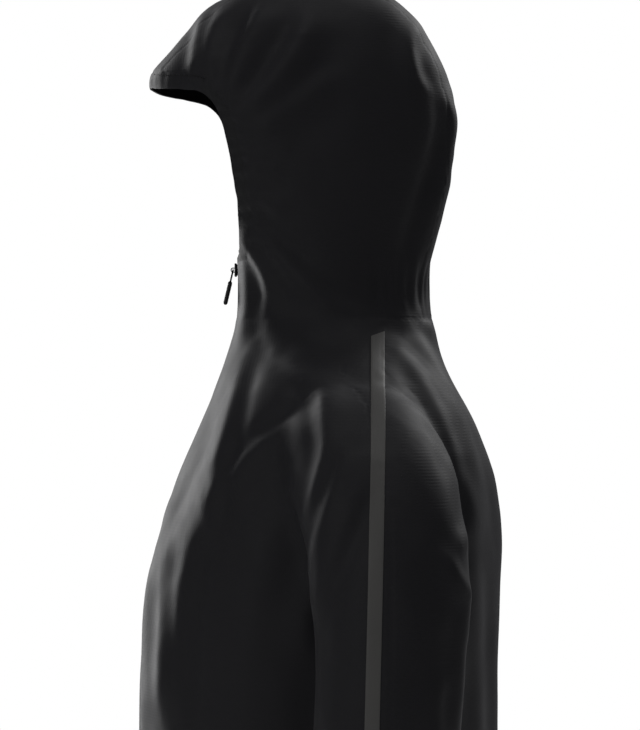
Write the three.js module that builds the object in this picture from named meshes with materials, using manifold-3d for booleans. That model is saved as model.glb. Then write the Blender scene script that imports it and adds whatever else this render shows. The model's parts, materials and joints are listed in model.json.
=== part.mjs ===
// A hooded waterproof hardshell jacket, worn and zipped up to the chin.
// Millimetres, +Z up; the jacket faces -Y and the wearer's left is +X. Heights are measured from the hem
// unless they say otherwise; the outer group lowers everything, so the origin lies between the shoulders.

import * as THREE from "three";
import { mergeVertices } from "three/addons/utils/BufferGeometryUtils.js";
import Module from "manifold-3d";

const wasm = await Module();
wasm.setup();

// ---- driving dimensions ----

const shoulderHeight = 600; // origin above the hem
const chestHalfWidth = 190;

// Level sections of body and hood: height, front, back, half width, roundness (2 is an ellipse).
// The lower rows are measured up from the hem, the others from the shoulders.
const lowerRows = [
  [0, -141, 141, chestHalfWidth + 4, 2.4],
  [100, -148, 145, chestHalfWidth, 2.4],
  [320, -148, 145, chestHalfWidth, 2.4],
];
const upperRows = [
  [-196, -142, 148, chestHalfWidth, 2.4],
  [-150, -132, 148, chestHalfWidth + 1, 2.4],
  [-104, -119, 143, chestHalfWidth, 2.4],
  [-59, -100, 129, chestHalfWidth - 7, 2.4],
  [-24, -85, 111, chestHalfWidth - 26, 2.3],
  [0, -77, 99, chestHalfWidth - 66, 2.2],
  [16, -72, 96, 92, 2.1],
  [32, -68, 92, 77, 2.1],
  [50, -68, 90, 77, 2.1],
  [84, -68, 91, 80, 2.1],
  [140, -98, 103, 92, 2.2],
  [170, -114, 109, 97, 2.2],
  [200, -130, 112, 99, 2.2],
  [224, -143.5, 108, 98, 2.2],
  [250, -122, 96, 92, 2.2],
  [270, -105, 87, 83, 2.2],
  [286, -92, 72, 72, 2.2],
  [300, -64, 52, 54, 2.1],
  [311, -36, 22, 30, 2.0],
  [318, -8, -8, 0, 2.0],
];
const bodyRows = [
  ...lowerRows,
  ...upperRows.map(([height, ...section]) => [shoulderHeight + height, ...section]),
];
const around = 36; // points on a level section

const fabricWall = 1.6;
const seamGap = 0.5; // between two sewn panels
const touchGap = 0.35; // between a laid-on piece and what it lies on
const facetGap = 0.6; // the same where both are round
const hemHeight = 24;
const neckSeamHeight = shoulderHeight + 30;
const chinHeight = shoulderHeight + 84;
const sideSeamY = 50; // side and shoulder seam
const frontEdgeX = 9; // half width left for the front zip

// Sleeve rows: distance outside the chest, y, drop below the shoulders, half width, half depth.
const sleeveRows = [
  [-58, 20, 76, 60, 66],
  [-12, 34, 92, 60, 65],
  [24, 46, 126, 58, 62],
  [44, 53, 175, 55, 60],
  [52, 53, 235, 53, 56],
  [55, 50, 300, 52, 56],
  [57, 47, 350, 51, 54],
  [58, 42, 393, 50, 52],
  [58, 34, 422, 48, 50],
  [58, 24.4, 457, 46.5, 48],
];
const elbowRow = 3; // its section sets the width of the seams and of the strip
const sleeveWall = 1.8;
const sleeveHalfSteps = 9;
const forearmTilt = 0.2566; // radians, the cuff leans forward
const cuffLength = 60;
const cuffRadius = 41; // at the open end
const cuffTopRadius = 45;
const cuffWall = 2.2;
const cuffTop = [58, 14.4, 494]; // measured as the sleeve rows are

const tabThickness = 2;
const tabLow = 17;
const tabHigh = 45;
const tabStart = -1.15; // radians round the cuff from its outer side, front is positive
const tabEnd = 0.95;
const padThickness = 1;
const padInset = 3; // from the tab's long edges
const loopPadStart = tabStart + 0.3;
const loopPadEnd = tabEnd + 0.35;
const hookPadStart = tabEnd - 0.75;
const hookPadEnd = tabEnd - 0.08;

// Edge of the face opening, front to back and height above the shoulders, from the chin up to the brim.
const faceEdge = [
  [-66.5, 84],
  [-66, 112],
  [-69, 140],
  [-75, 170],
  [-80, 194],
  [-87, 206],
  [-98, 213],
  [-110, 215],
  [-126, 216],
  [-143.5, 222],
].map(([y, height]) => [y, shoulderHeight + height]);
const brimStart = 6; // first point of faceEdge that belongs to the brim
const bindingWidth = 9;
const brimWidth = 13;
const brimDrop = 8; // how far the brim's cutting shape reaches below the edge
const centrePanelHalfWidth = 42;
const centrePanelFront = -20; // the centre panel reaches forward of this only over the crown
const crownHeight = shoulderHeight + 190;

const napeHeight = shoulderHeight + 52;
const napeBand = 14;
const napeThickness = 1.4;
const napeFront = 30;

const zipSlit = 1; // half width between the two tapes
const tapeWidth = 7.7;
const tapeThickness = 1.2;
const coilWidth = 2.4;
const coilThickness = 1.6;
const zipBottom = 16;
const zipTop = chinHeight - 3;
const zipSliderHeight = zipTop - 10;
const coilShort = 3; // the teeth end below the top of the tapes
const tapeDepth = 0.1;
const retainerHalfWidth = 6;
const retainerProud = 0.8;
const retainerDepth = 4.5;
const retainerLow = 2;
const retainerGap = 0.4;
const flapWidth = 32;
const flapThickness = 1.5;
const flapRoot = 3; // sewn width behind the front panel
const flapPlay = 0.2;
const flapSewnDepth = 0.8;
const flapLow = 2; // above the hem band
const flapShort = 1; // below the top of the zip
const chinGuardHeight = 30;
const chinGuardThickness = 1.6;

const sliderPlate = 2;
const sliderWidth = 8;
const sliderHeight = 11;
const sliderPlay = 0.25;
const backPlateInset = 0.5;
const neckWidth = 1.2;
const lugWidth = 1.6;
const pullCordRadius = 0.7;
const pullCordReach = 9;
const eyeClear = 0.55; // round the cord in the lug's eye
const lugHole = 2 * (pullCordRadius + eyeClear);
const lugWall = 1;
const eyeSunk = 0.1; // the eye is cut a little into the plate
const lugReach = lugWall + lugHole - eyeSunk;
const lugHeight = lugHole + 2.5;
const legClear = 0.6; // between the lug and each leg of the cord
const pullHalfWidth = lugWidth / 2 + legClear + pullCordRadius;
const gripWidth = 6;
const gripThickness = 3.6;
const gripLength = 20;
const gripCorner = 1.5;
const frontPullTilt = 0.23;
const pocketPullTilt = 0.12;

const pocketX = 108;
const pocketLow = 112;
const pocketHigh = 296;
const pocketSlot = 12;
const pocketBagWidth = 118;
const pocketBagBelow = 26;
const pocketBagAbove = 6;
const pocketBagShift = 10; // towards the middle
const pocketClear = 0.3;
const pocketZipEnd = 4; // closed tape at each end of the slit
const cutDepth = 9; // how far a pocket cut reaches through the wall
const pocketSliderHeight = 284;
const pocketBagThickness = 2;

const stripHalfWidth = 5.5;
const stripThickness = 0.9;
const shoulderStripY = 42;
const shoulderStripInner = 72; // from the middle line
const shoulderStripLow = shoulderHeight - 60;
const stripAngleTop = 0.06; // where the strip lies round the sleeve, from its outer side
const stripAngleLow = 0.31;

const hemCordRadius = 1.25;
const hemCordHeight = 12;
const hemCordClear = 1;
const hemCordSides = 6;
const ledgeOverlap = 1;
const facingThickness = 1.2;
const lockX = chestHalfWidth - 40; // from the middle line
const lockRadius = 9;
const lockThickness = 2.6;
const lockLift = 0.95; // clears the slope of the hem under the bezel
const buttonStand = 2.6;
const buttonRadius = 5;
const buttonThickness = 3;
const lockSeatMargin = 1;
const lockCutDepth = 10;

const hangerWidth = 30;
const hangerHeight = 14;
const hangerThickness = 1.2;
const hangerLow = shoulderHeight + 4;
const hangerStitched = 4; // width of each sewn end
const hangerTape = 3; // width of tape above and below the slot
const hangerClear = 1.6; // the neck curves forward beside the loop

// ---- materials ----

const materials = {
  shell: new THREE.MeshStandardMaterial({ color: 0x1d1d21, roughness: 0.62, metalness: 0 }),
  lining: new THREE.MeshStandardMaterial({ color: 0x2a2a2e, roughness: 0.85, metalness: 0 }),
  strip: new THREE.MeshStandardMaterial({ color: 0x46464a, roughness: 0.4, metalness: 0 }),
  tape: new THREE.MeshStandardMaterial({ color: 0x141416, roughness: 0.5, metalness: 0 }),
  moulded: new THREE.MeshStandardMaterial({ color: 0x18181a, roughness: 0.45, metalness: 0 }),
  cord: new THREE.MeshStandardMaterial({ color: 0x101012, roughness: 0.8, metalness: 0 }),
};

// ---- solids ----

// One closed solid from points and triangles: shared points are merged, and the faces point outward.
function solid(points, triangles) {
  const geometry = new THREE.BufferGeometry();
  geometry.setAttribute("position", new THREE.Float32BufferAttribute(points.flatMap((p) => p.toArray()), 3));
  geometry.setIndex(triangles.flat());
  return toSolid(geometry);
}

function toSolid(geometry) {
  const bare = geometry.clone();
  bare.deleteAttribute("normal");
  bare.deleteAttribute("uv");
  const merged = mergeVertices(bare, 1e-4);
  const position = merged.getAttribute("position");
  const index = merged.getIndex().array;
  const kept = [];
  let volume = 0;
  const a = new THREE.Vector3();
  const b = new THREE.Vector3();
  const c = new THREE.Vector3();
  for (let i = 0; i < index.length; i += 3) {
    const [p, q, r] = [index[i], index[i + 1], index[i + 2]];
    if (p === q || q === r || r === p) continue;
    kept.push(p, q, r);
    a.fromBufferAttribute(position, p);
    b.fromBufferAttribute(position, q);
    c.fromBufferAttribute(position, r);
    volume += a.dot(b.clone().cross(c));
  }
  if (volume < 0) kept.reverse();
  const mesh = new wasm.Mesh({
    numProp: 3,
    vertProperties: new Float32Array(position.array),
    triVerts: new Uint32Array(kept),
  });
  return new wasm.Manifold(mesh);
}

function toGeometry(manifold) {
  const mesh = manifold.getMesh();
  const geometry = new THREE.BufferGeometry();
  geometry.setAttribute("position", new THREE.Float32BufferAttribute(mesh.vertProperties, 3));
  geometry.setIndex(Array.from(mesh.triVerts));
  geometry.computeVertexNormals();
  return geometry;
}

function boxSolid(x0, x1, y0, y1, z0, z1) {
  const geometry = new THREE.BoxGeometry(x1 - x0, y1 - y0, z1 - z0);
  geometry.translate((x0 + x1) / 2, (y0 + y1) / 2, (z0 + z1) / 2);
  return toSolid(geometry);
}

// Rings of equal point count, joined in order and capped at both ends.
function loft(rings) {
  const count = rings[0].length;
  const points = rings.flat();
  const triangles = [];
  for (let i = 0; i + 1 < rings.length; i += 1) {
    for (let j = 0; j < count; j += 1) {
      const k = (j + 1) % count;
      const [a, b, c, d] = [i * count + j, i * count + k, (i + 1) * count + k, (i + 1) * count + j];
      triangles.push([a, b, c], [a, c, d]);
    }
  }
  for (const [ring, turn] of [[0, 1], [rings.length - 1, -1]]) {
    const centre = new THREE.Vector3();
    for (const p of rings[ring]) centre.add(p);
    points.push(centre.divideScalar(count));
    for (let j = 0; j < count; j += 1) {
      const here = ring * count + j;
      const next = ring * count + ((j + 1) % count);
      const pair = turn > 0 ? [next, here] : [here, next];
      triangles.push([points.length - 1, ...pair]);
    }
  }
  return solid(points, triangles);
}

// A thick open sheet: outer(u, v) and inner(u, v) give its two faces for u and v from 0 to 1.
function thickPatch(outer, inner, uSteps, vSteps) {
  const points = [];
  for (const side of [outer, inner]) {
    for (let i = 0; i <= uSteps; i += 1) {
      for (let j = 0; j <= vSteps; j += 1) points.push(side(i / uSteps, j / vSteps));
    }
  }
  const row = vSteps + 1;
  const layer = (uSteps + 1) * row;
  const triangles = [];
  const quad = (a, b, c, d) => triangles.push([a, b, c], [a, c, d]);
  for (let i = 0; i < uSteps; i += 1) {
    for (let j = 0; j < vSteps; j += 1) {
      const p = i * row + j;
      quad(p, p + row, p + row + 1, p + 1);
      quad(layer + p, layer + p + 1, layer + p + row + 1, layer + p + row);
    }
  }
  for (let i = 0; i < uSteps; i += 1) {
    const low = i * row;
    const high = i * row + vSteps;
    quad(low, layer + low, layer + low + row, low + row);
    quad(high, high + row, layer + high + row, layer + high);
  }
  for (let j = 0; j < vSteps; j += 1) {
    const far = uSteps * row + j;
    quad(j, j + 1, layer + j + 1, layer + j);
    quad(far, layer + far, layer + far + 1, far + 1);
  }
  return solid(points, triangles);
}

// A prism along X whose outline is given front to back and by height.
function sidePrism(outline, x0, x1) {
  const shape = new THREE.Shape(outline.map(([y, z]) => new THREE.Vector2(y, z)));
  const geometry = new THREE.ExtrudeGeometry(shape, { depth: x1 - x0, bevelEnabled: false });
  const turn = new THREE.Matrix4().makeBasis(
    new THREE.Vector3(0, 1, 0),
    new THREE.Vector3(0, 0, 1),
    new THREE.Vector3(1, 0, 0),
  );
  geometry.applyMatrix4(turn);
  geometry.translate(x0, 0, 0);
  return toSolid(geometry);
}

// ---- body and hood shell ----

function sectionRing([z, front, back, half, roundness]) {
  const ring = [];
  const power = 2 / roundness;
  for (let j = 0; j < around; j += 1) {
    const t = (2 * Math.PI * j) / around;
    const x = half * Math.sign(Math.cos(t)) * Math.abs(Math.cos(t)) ** power;
    const depth = ((back - front) / 2) * Math.sign(Math.sin(t)) * Math.abs(Math.sin(t)) ** power;
    const y = (front + back) / 2 + depth;
    ring.push(new THREE.Vector3(x, y, z));
  }
  return ring;
}

const bodyRings = bodyRows.map(sectionRing);

// The rings moved along their own outward direction; a ring below the hem lets cuts run through it.
function offsetRings(distance) {
  const last = bodyRings.length - 1;
  const moved = bodyRings.map((ring, i) => ring.map((point, j) => {
    if (i === last) return point.clone().add(new THREE.Vector3(0, 0, distance));
    const above = bodyRings[i + 1][j];
    const below = bodyRings[Math.max(i - 1, 0)][j];
    const next = ring[(j + 1) % around];
    const before = ring[(j + around - 1) % around];
    const outward = next.clone().sub(before).cross(above.clone().sub(below)).normalize();
    return point.clone().addScaledVector(outward, distance);
  }));
  const hem = moved[0].map((point) => new THREE.Vector3(point.x, point.y, -10));
  moved[0].forEach((point) => point.setZ(0));
  return [hem, ...moved];
}

const bodySolids = new Map();
function bodySolid(distance) {
  if (!bodySolids.has(distance)) bodySolids.set(distance, loft(offsetRings(distance)));
  return bodySolids.get(distance);
}

// The layer between two offsets of the body surface; depth grows inward.
function bodyLayer(depthFrom, depthTo) {
  return bodySolid(-depthFrom).subtract(bodySolid(-depthTo));
}

function rowAt(height) {
  const rows = bodyRows;
  const upper = Math.max(1, rows.findIndex((row) => row[0] >= height));
  const [low, high] = [rows[upper - 1], rows[upper]];
  const share = (height - low[0]) / (high[0] - low[0]);
  return low.map((value, i) => value + share * (high[i] - value));
}

// A point on the front of the body and its outward direction, at a distance from the middle.
function frontSurface(x, height) {
  const [, front, back, half, roundness] = rowAt(height);
  const share = Math.abs(x) / half;
  const depth = (back - front) / 2;
  const y = (front + back) / 2 - depth * (1 - share ** roundness) ** (1 / roundness);
  const across = Math.sign(x) * (share ** (roundness - 1) / half);
  const along = -((((front + back) / 2 - y) / depth) ** (roundness - 1)) / depth;
  const length = Math.hypot(across, along);
  return { y, turn: Math.atan2(across / length, -along / length) };
}

// A strip that follows the front middle line, between two depths below the outer surface.
function frontRibbon(x0, x1, depthFrom, depthTo, z0, z1) {
  const heights = [z0, ...bodyRows.map((row) => row[0]).filter((z) => z > z0 && z < z1), z1];
  const line = heights.map((z) => [rowAt(z)[1], z]);
  const inward = line.map((point, i) => {
    const below = line[Math.max(i - 1, 0)];
    const above = line[Math.min(i + 1, line.length - 1)];
    const length = Math.hypot(above[0] - below[0], above[1] - below[1]);
    return [(above[1] - below[1]) / length, -(above[0] - below[0]) / length];
  });
  const at = (i, depth) => [line[i][0] + depth * inward[i][0], line[i][1] + depth * inward[i][1]];
  const outer = line.map((_, i) => at(i, depthFrom));
  const inner = line.map((_, i) => at(i, depthTo)).reverse();
  return sidePrism([...outer, ...inner], x0, x1);
}

const farSide = 400; // past everything, sideways
const farAbove = 2000; // and upwards
function wideBox(z0, z1) {
  return boxSolid(-farSide, farSide, -farSide, farSide, z0, z1);
}
function leftHalf(edge) {
  return boxSolid(edge, farSide, -farSide, farSide, -farSide, farAbove);
}
function rightHalf(edge) {
  return boxSolid(-farSide, -edge, -farSide, farSide, -farSide, farAbove);
}
function sideHalf(side, edge) {
  return side > 0 ? leftHalf(edge) : rightHalf(edge);
}

// ---- sleeves ----

function sleeveCentre(side, [outside, y, drop]) {
  return new THREE.Vector3(side * (chestHalfWidth + outside), y, shoulderHeight - drop);
}

function sleeveFrames(side) {
  const end = new THREE.Vector3(0, -Math.sin(forearmTilt), -Math.cos(forearmTilt));
  const rows = [...sleeveRows, [...cuffTop, cuffTopRadius, cuffTopRadius]];
  const centres = rows.map((row) => sleeveCentre(side, row));
  return rows.map(([, , , half, depth], i) => {
    const along = i === rows.length - 1
      ? end
      : centres[i + 1].clone().sub(centres[Math.max(i - 1, 0)]).normalize();
    const front = new THREE.Vector3(0, -1, 0).addScaledVector(along, along.y).normalize();
    const outer = front.clone().cross(along).multiplyScalar(side).normalize();
    return { centre: centres[i], along, front, outer, half, depth };
  });
}

function sleevePoint(frame, angle, distance) {
  return frame.centre.clone()
    .addScaledVector(frame.outer, (frame.half + distance) * Math.cos(angle))
    .addScaledVector(frame.front, (frame.depth + distance) * Math.sin(angle));
}

// The whole sleeve as a plug, its surface moved by a distance.
function sleevePlug(side, distance) {
  const rings = sleeveFrames(side).map((frame) => {
    const ring = [];
    for (let j = 0; j < 2 * sleeveHalfSteps; j += 1) {
      ring.push(sleevePoint(frame, (Math.PI * j) / sleeveHalfSteps, distance));
    }
    return ring;
  });
  return loft(rings);
}

function sleevePatch(side, angleFrom, angleTo, inner, outer, steps, firstRow) {
  const frames = sleeveFrames(side).slice(firstRow);
  const rows = frames.length - 1;
  const face = (distance) => (u, v) => {
    const frame = frames[Math.round(v * rows)];
    const angle = angleFrom(v) + u * (angleTo(v) - angleFrom(v));
    return sleevePoint(frame, angle, distance);
  };
  return thickPatch(face(outer), face(inner), steps, rows);
}

function sleeveHalf(side, front) {
  const edge = seamGap / 2 / sleeveRows[elbowRow][3];
  const from = front ? edge : -Math.PI + edge;
  const to = front ? Math.PI - edge : -edge;
  return sleevePatch(side, () => from, () => to, -sleeveWall, 0, sleeveHalfSteps, 0)
    .subtract(bodySolid(touchGap));
}

function sleeveStrip(side) {
  const widthAngle = stripHalfWidth / sleeveRows[elbowRow][4];
  const middle = (v) => stripAngleTop + Math.min(v * 2, 1) * (stripAngleLow - stripAngleTop);
  return sleevePatch(
    side,
    (v) => middle(v) - widthAngle,
    (v) => middle(v) + widthAngle,
    facetGap,
    facetGap + stripThickness,
    2,
    1,
  ).subtract(bodySolid(touchGap * 2 + stripThickness + seamGap));
}

// ---- the parts ----

const group = new THREE.Group();
group.position.z = -shoulderHeight;

function add(parent, name, geometry, material) {
  const mesh = new THREE.Mesh(geometry, materials[material].clone());
  mesh.name = name;
  parent.add(mesh);
}

function sideName(side) {
  return side > 0 ? "left" : "right";
}

function pocketFrame(side) {
  const { y, turn } = frontSurface(side * pocketX, pocketLow);
  const frame = new THREE.Group();
  frame.position.set(side * pocketX, y, 0);
  frame.rotation.z = turn;
  frame.updateMatrix();
  return frame;
}

// A box in the pocket's own frame, moved onto the body.
function pocketBox(side, x0, x1, y0, y1, z0, z1) {
  const geometry = new THREE.BoxGeometry(x1 - x0, y1 - y0, z1 - z0);
  geometry.translate((x0 + x1) / 2, (y0 + y1) / 2, (z0 + z1) / 2);
  geometry.applyMatrix4(pocketFrame(side).matrix);
  return toSolid(geometry);
}

function bodyPanels() {
  const wall = bodyLayer(0, fabricWall)
    .subtract(sleevePlug(1, -sleeveWall))
    .subtract(sleevePlug(-1, -sleeveWall))
    .intersect(wideBox(hemHeight + seamGap, neckSeamHeight));
  const frontRegion = boxSolid(-farSide, farSide, -farSide, sideSeamY - seamGap / 2, 0, farAbove);
  const backRegion = boxSolid(-farSide, farSide, sideSeamY + seamGap / 2, farSide, 0, farAbove);
  for (const side of [1, -1]) {
    const slot = pocketBox(side, -pocketSlot / 2, pocketSlot / 2, -cutDepth, cutDepth, pocketLow, pocketHigh);
    const panel = wall.intersect(frontRegion).intersect(sideHalf(side, frontEdgeX)).subtract(slot);
    add(group, `front_panel_${sideName(side)}`, toGeometry(panel), "shell");
  }
  add(group, "back_panel", toGeometry(wall.intersect(backRegion)), "shell");
}

function hem() {
  const gapInFront = boxSolid(-frontEdgeX, frontEdgeX, -farSide, 0, -hemHeight, 2 * hemHeight);
  const band = bodyLayer(0, fabricWall).intersect(wideBox(0, hemHeight)).subtract(gapInFront);
  const facingDepth = fabricWall + 2 * hemCordClear + 2 * hemCordRadius;
  const ledge = bodyLayer(fabricWall + touchGap, facingDepth + ledgeOverlap).intersect(
    wideBox(hemHeight - facingThickness, hemHeight),
  );
  const facing = bodyLayer(facingDepth + touchGap, facingDepth + touchGap + facingThickness)
    .intersect(wideBox(0, hemHeight))
    .add(ledge)
    .subtract(gapInFront);
  let bandCut = band;
  for (const side of [1, -1]) bandCut = bandCut.subtract(lockSeat(side));
  add(group, "hem_band", toGeometry(bandCut), "shell");
  add(group, "hem_facing", toGeometry(facing), "lining");
  add(group, "hem_drawcord", hemCord(fabricWall + hemCordClear + hemCordRadius), "cord");
}

function hemCord(depth) {
  const ring = sectionRing([hemCordHeight, ...rowAt(hemCordHeight).slice(1)]);
  const inset = ring.map((point, j) => {
    const tangent = ring[(j + 1) % around].clone().sub(ring[(j + around - 1) % around]).normalize();
    return point.clone().add(new THREE.Vector3(-tangent.y, tangent.x, 0).multiplyScalar(depth));
  });
  const firstFront = (around * 3) / 4 + 1;
  const open = [];
  for (let k = 0; k <= around - 2; k += 1) open.push(inset[(firstFront + k) % around]);
  const path = new THREE.CatmullRomCurve3(open);
  const section = new THREE.Shape();
  for (let k = 0; k < hemCordSides; k += 1) {
    const angle = (2 * Math.PI * k) / hemCordSides;
    const [x, y] = [hemCordRadius * Math.cos(angle), hemCordRadius * Math.sin(angle)];
    if (k) section.lineTo(x, y);
    else section.moveTo(x, y);
  }
  return new THREE.ExtrudeGeometry(section, { extrudePath: path, steps: around });
}

function lockFrame(side) {
  const { y, turn } = frontSurface(side * lockX, hemCordHeight);
  const frame = new THREE.Group();
  frame.position.set(side * lockX, y, hemCordHeight);
  frame.rotation.z = turn;
  frame.updateMatrix();
  return frame;
}

// A round disc that faces outward, between two depths below the hem's outer face.
function disc(radius, depthFrom, depthTo, segments) {
  const geometry = new THREE.CylinderGeometry(radius, radius, depthTo - depthFrom, segments);
  geometry.translate(0, (depthFrom + depthTo) / 2, 0);
  return geometry;
}

function lockSeat(side) {
  const geometry = disc(buttonRadius + touchGap + lockSeatMargin, -lockCutDepth, lockCutDepth, 24);
  geometry.applyMatrix4(lockFrame(side).matrix);
  return toSolid(geometry);
}

// A moulded cord lock let into the hem: a round bezel with a push button in it.
function hemLocks() {
  for (const side of [1, -1]) {
    const frame = lockFrame(side);
    const top = -lockLift - lockThickness;
    const bezel = toSolid(disc(lockRadius, top, -lockLift, 28)).subtract(
      toSolid(disc(buttonRadius + touchGap, -lockCutDepth, lockCutDepth, 24)),
    );
    add(frame, `hem_lock_body_${sideName(side)}`, toGeometry(bezel), "moulded");
    const button = disc(buttonRadius, top - buttonStand, top - buttonStand + buttonThickness, 24);
    add(frame, `hem_lock_button_${sideName(side)}`, button, "moulded");
    group.add(frame);
  }
}

function faceOpening() {
  const outline = [[-farSide, chinHeight], ...faceEdge, [-farSide, faceEdge[faceEdge.length - 1][1]]];
  return sidePrism(outline, -farSide, farSide);
}

function bindingStrip(extra) {
  const line = faceEdge.slice(0, brimStart);
  const top = line[line.length - 1][1] + bindingWidth / 2 + extra;
  const back = line.map(([y, z], i) => [y + bindingWidth + extra, i < line.length - 1 ? z : top]);
  const bottom = chinHeight - bindingWidth - extra;
  return sidePrism([[-farSide, bottom], [back[0][0], bottom], ...back, [-farSide, top]], -farSide, farSide);
}

function brimStrip(extra) {
  const low = faceEdge.slice(brimStart);
  const up = low.map(([y, z]) => [y + extra, z + brimWidth + extra]);
  const last = up.length - 1;
  up[last] = [-farSide / 2, up[last][1]];
  const bottom = low[0][1] - brimDrop;
  const outline = [[low[0][0] + extra, bottom], [-farSide / 2, bottom], ...up.reverse()];
  return sidePrism(outline, -farSide, farSide);
}

function hood() {
  const wall = bodyLayer(0, fabricWall)
    .intersect(wideBox(neckSeamHeight + seamGap, farAbove))
    .subtract(faceOpening());
  const brim = wall.intersect(brimStrip(0));
  const binding = wall.subtract(brimStrip(seamGap)).intersect(bindingStrip(0));
  const rest = wall.subtract(brimStrip(seamGap)).subtract(bindingStrip(seamGap));
  const centreOutline = [
    [centrePanelFront, neckSeamHeight],
    [farSide / 2, neckSeamHeight],
    [farSide / 2, farAbove],
    [-farSide / 2, farAbove],
    [-farSide / 2, crownHeight],
    [centrePanelFront, crownHeight],
  ];
  const strip = (half) => sidePrism(centreOutline, -half, half);
  add(group, "hood_centre_panel", toGeometry(rest.intersect(strip(centrePanelHalfWidth))), "shell");
  for (const side of [1, -1]) {
    const panel = rest.subtract(strip(centrePanelHalfWidth + seamGap)).intersect(sideHalf(side, frontEdgeX));
    add(group, `hood_side_${sideName(side)}`, toGeometry(panel), "shell");
    const edge = binding.intersect(sideHalf(side, frontEdgeX));
    add(group, `face_binding_${sideName(side)}`, toGeometry(edge), "lining");
  }
  add(group, "hood_brim", toGeometry(brim), "shell");
  const nape = bodyLayer(fabricWall + touchGap, fabricWall + touchGap + napeThickness)
    .intersect(boxSolid(-farSide, farSide, napeFront, farSide, napeHeight, napeHeight + napeBand));
  add(group, "nape_elastic", toGeometry(nape), "lining");
}

function sleeves() {
  for (const side of [1, -1]) {
    add(group, `sleeve_front_${sideName(side)}`, toGeometry(sleeveHalf(side, true)), "shell");
    add(group, `sleeve_back_${sideName(side)}`, toGeometry(sleeveHalf(side, false)), "shell");
    add(group, `sleeve_strip_${sideName(side)}`, toGeometry(sleeveStrip(side)), "strip");
    const strip = bodyLayer(-touchGap - stripThickness, -touchGap)
      .intersect(boxSolid(
        Math.min(side * shoulderStripInner, side * farSide),
        Math.max(side * shoulderStripInner, side * farSide),
        shoulderStripY - stripHalfWidth,
        shoulderStripY + stripHalfWidth,
        shoulderStripLow,
        neckSeamHeight,
      ))
      .subtract(sleevePlug(side, touchGap));
    add(group, `shoulder_strip_${sideName(side)}`, toGeometry(strip), "strip");
  }
}

// A curved plate that lies round the cuff, in the cuff's own frame (its open end at zero height).
function cuffPlate(side, angleFrom, angleTo, low, high, gap, thickness) {
  const radius = (z) => cuffRadius + ((cuffTopRadius - cuffRadius) * z) / cuffLength;
  const face = (distance) => (u, v) => {
    const angle = angleFrom + u * (angleTo - angleFrom);
    const z = low + v * (high - low);
    const r = radius(z) + distance;
    return new THREE.Vector3(side * r * Math.cos(angle), -r * Math.sin(angle), z);
  };
  return thickPatch(face(gap + thickness), face(gap), 10, 2);
}

function cuffPad(side, angleFrom, angleTo, gap) {
  return cuffPlate(side, angleFrom, angleTo, tabLow + padInset, tabHigh - padInset, gap, padThickness);
}

function cuffs() {
  const profile = [
    [cuffRadius, 0],
    [cuffTopRadius, cuffLength],
    [cuffTopRadius - cuffWall, cuffLength],
    [cuffRadius - cuffWall, 0],
    [cuffRadius, 0],
  ].map(([r, z]) => new THREE.Vector2(r, z));
  for (const side of [1, -1]) {
    const frame = new THREE.Group();
    frame.position.copy(sleeveCentre(side, cuffTop));
    frame.position.y -= (cuffLength + seamGap) * Math.sin(forearmTilt);
    frame.position.z -= (cuffLength + seamGap) * Math.cos(forearmTilt);
    frame.rotation.x = -forearmTilt;
    const ring = new THREE.LatheGeometry(profile, 32);
    ring.rotateX(Math.PI / 2);
    const hookGap = facetGap * 2 + padThickness;
    const tabGap = hookGap + padThickness + facetGap;
    add(frame, `cuff_${sideName(side)}`, toGeometry(toSolid(ring)), "shell");
    add(
      frame,
      `cuff_loop_pad_${sideName(side)}`,
      toGeometry(cuffPad(side, loopPadStart, loopPadEnd, facetGap)),
      "lining",
    );
    add(
      frame,
      `cuff_hook_pad_${sideName(side)}`,
      toGeometry(cuffPad(side, hookPadStart, hookPadEnd, hookGap)),
      "lining",
    );
    add(
      frame,
      `cuff_tab_${sideName(side)}`,
      toGeometry(cuffPlate(side, tabStart, tabEnd, tabLow, tabHigh, tabGap, tabThickness)),
      "moulded",
    );
    group.add(frame);
  }
}

// A zip slider in section: plates in front of and behind the tapes, joined by a neck through the slit.
function sliderSolid(reach) {
  const front = -sliderPlate - sliderPlay;
  const backHalf = sliderWidth / 2 - backPlateInset;
  const outline = [
    [-sliderWidth / 2, front],
    [sliderWidth / 2, front],
    [sliderWidth / 2, -sliderPlay],
    [neckWidth / 2, -sliderPlay],
    [neckWidth / 2, reach],
    [backHalf, reach],
    [backHalf, reach + sliderPlate],
    [-backHalf, reach + sliderPlate],
    [-backHalf, reach],
    [-neckWidth / 2, reach],
    [-neckWidth / 2, -sliderPlay],
    [-sliderWidth / 2, -sliderPlay],
  ].map(([x, y]) => new THREE.Vector2(x, y));
  const section = new THREE.Shape(outline);
  const body = new THREE.ExtrudeGeometry(section, { depth: sliderHeight, bevelEnabled: false });
  body.translate(0, 0, -sliderHeight / 2);
  const rooted = front + sliderPlate / 4; // the lug runs into the plate
  const lug = boxSolid(-lugWidth / 2, lugWidth / 2, front - lugReach, rooted, -lugHeight / 2, lugHeight / 2);
  const holeFront = front - lugReach + lugWall;
  const hole = boxSolid(-lugWidth, lugWidth, holeFront, holeFront + lugHole, -lugHole / 2, lugHole / 2);
  return toSolid(body).add(lug).subtract(hole);
}

const hingeReach = -sliderPlate - sliderPlay - lugReach + lugWall + lugHole / 2;

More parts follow.
